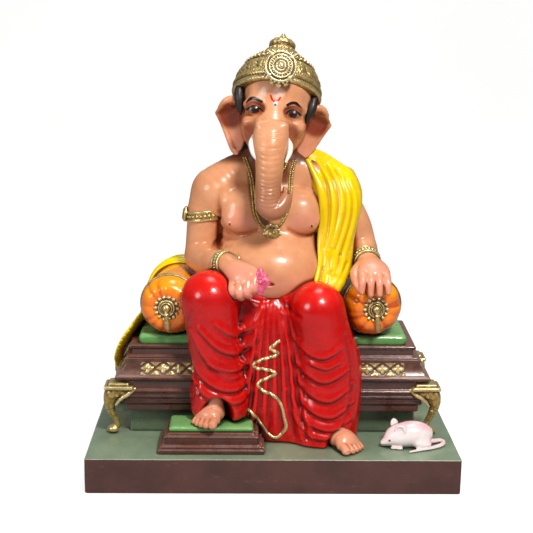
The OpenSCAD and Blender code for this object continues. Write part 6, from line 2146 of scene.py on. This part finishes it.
def camera_and_lights():
    pitch, yaw, roll = math.radians(12.8), math.radians(1.2), math.radians(0.67)
    forward = vec(math.sin(yaw) * math.cos(pitch), math.cos(yaw) * math.cos(pitch), -math.sin(pitch))
    right = vec(math.cos(yaw), -math.sin(yaw), 0)
    up = np.cross(right, forward)
    right, up = (right * math.cos(roll) + up * math.sin(roll), up * math.cos(roll) - right * math.sin(roll))
    place = vec(-25.4, -944.5, 380.6) * MM
    cam = bpy.data.objects.new("camera", bpy.data.cameras.new("camera"))
    cam.data.lens = 77.7
    cam.data.sensor_width = 36
    cam.data.clip_end = 50
    cam.matrix_world = aimed(right, up, forward, place)
    bpy.context.collection.objects.link(cam)
    bpy.context.scene.camera = cam

    target = vec(0, 0, 0.17)

    def lamp(name, at, size, watts, tone=(1, 1, 1)):
        light = bpy.data.lights.new(name, "AREA")
        light.shape, light.size, light.energy, light.color = "DISK", size, watts, tone
        o = bpy.data.objects.new(name, light)
        way = unit(target - np.array(at))
        side = unit(np.cross(way, vec(0, 0, 1)))
        o.matrix_world = aimed(side, np.cross(side, way), way, at)
        bpy.context.collection.objects.link(o)
    lamp("key", (0.45, -1.05, 1.35), 0.35, 27, (1, 0.97, 0.93))
    lamp("fill", (-1.2, -1.1, 0.8), 0.6, 11)
    lamp("top", (0.1, 0.2, 1.6), 0.6, 7)
    world = bpy.data.worlds.new("studio")
    world.use_nodes = True
    # white to the camera, dim to everything else, so the enamel keeps its depth
    tree = world.node_tree
    seen = tree.nodes.new("ShaderNodeLightPath").outputs["Is Camera Ray"]
    dim = tree.nodes.new("ShaderNodeMapRange")
    dim.inputs["To Min"].default_value = DIM_WORLD
    dim.inputs["To Max"].default_value = 1.0
    tree.links.new(seen, dim.inputs["Value"])
    tree.links.new(dim.outputs["Result"], tree.nodes["Background"].inputs["Strength"])
    tree.nodes["Background"].inputs["Color"].default_value = (1, 1, 1, 1)
    bpy.context.scene.world = world
    bpy.context.scene.view_settings.view_transform = "Standard"


def studio_floor():
    """Pale floor that curves up behind, so no horizon shows."""
    half, depth, rise, turn = 4.0, 2.2, 3.0, 1.2
    line = [(-4.0, 0.0), (depth - turn, 0.0)]
    line += [(depth - turn + turn * math.sin(q), turn - turn * math.cos(q))
             for q in np.radians(np.linspace(6, 90, 15))]
    line.append((depth, rise))
    points = np.array([[x, y, z] for y, z in line for x in (-half, half)]) / MM
    faces = np.array([[2 * i, 2 * i + 1, 2 * i + 3, 2 * i + 2] for i in range(len(line) - 1)])
    floor = mesh_object("studio_floor", points, faces)
    p = Paint("pale_floor", rough=0.8, coat=0.0, specular=0.2)
    tone = p.mix(p.between(p.noise(300, 2), 0.3, 0.7, 0, 1), (0.42, 0.42, 0.42, 1), (0.45, 0.45, 0.45, 1))
    p.shader.inputs["Emission Color"].default_value = (1, 1, 1, 1)
    seen = p.tree.nodes.new("ShaderNodeLightPath").outputs["Is Camera Ray"]
    p.put(p.shader.inputs["Emission Strength"], p.maths("MULTIPLY", seen, FLOOR_GLOW))
    floor.data.materials.append(p.finish(tone))


camera_and_lights()
studio_floor()
build_everything()
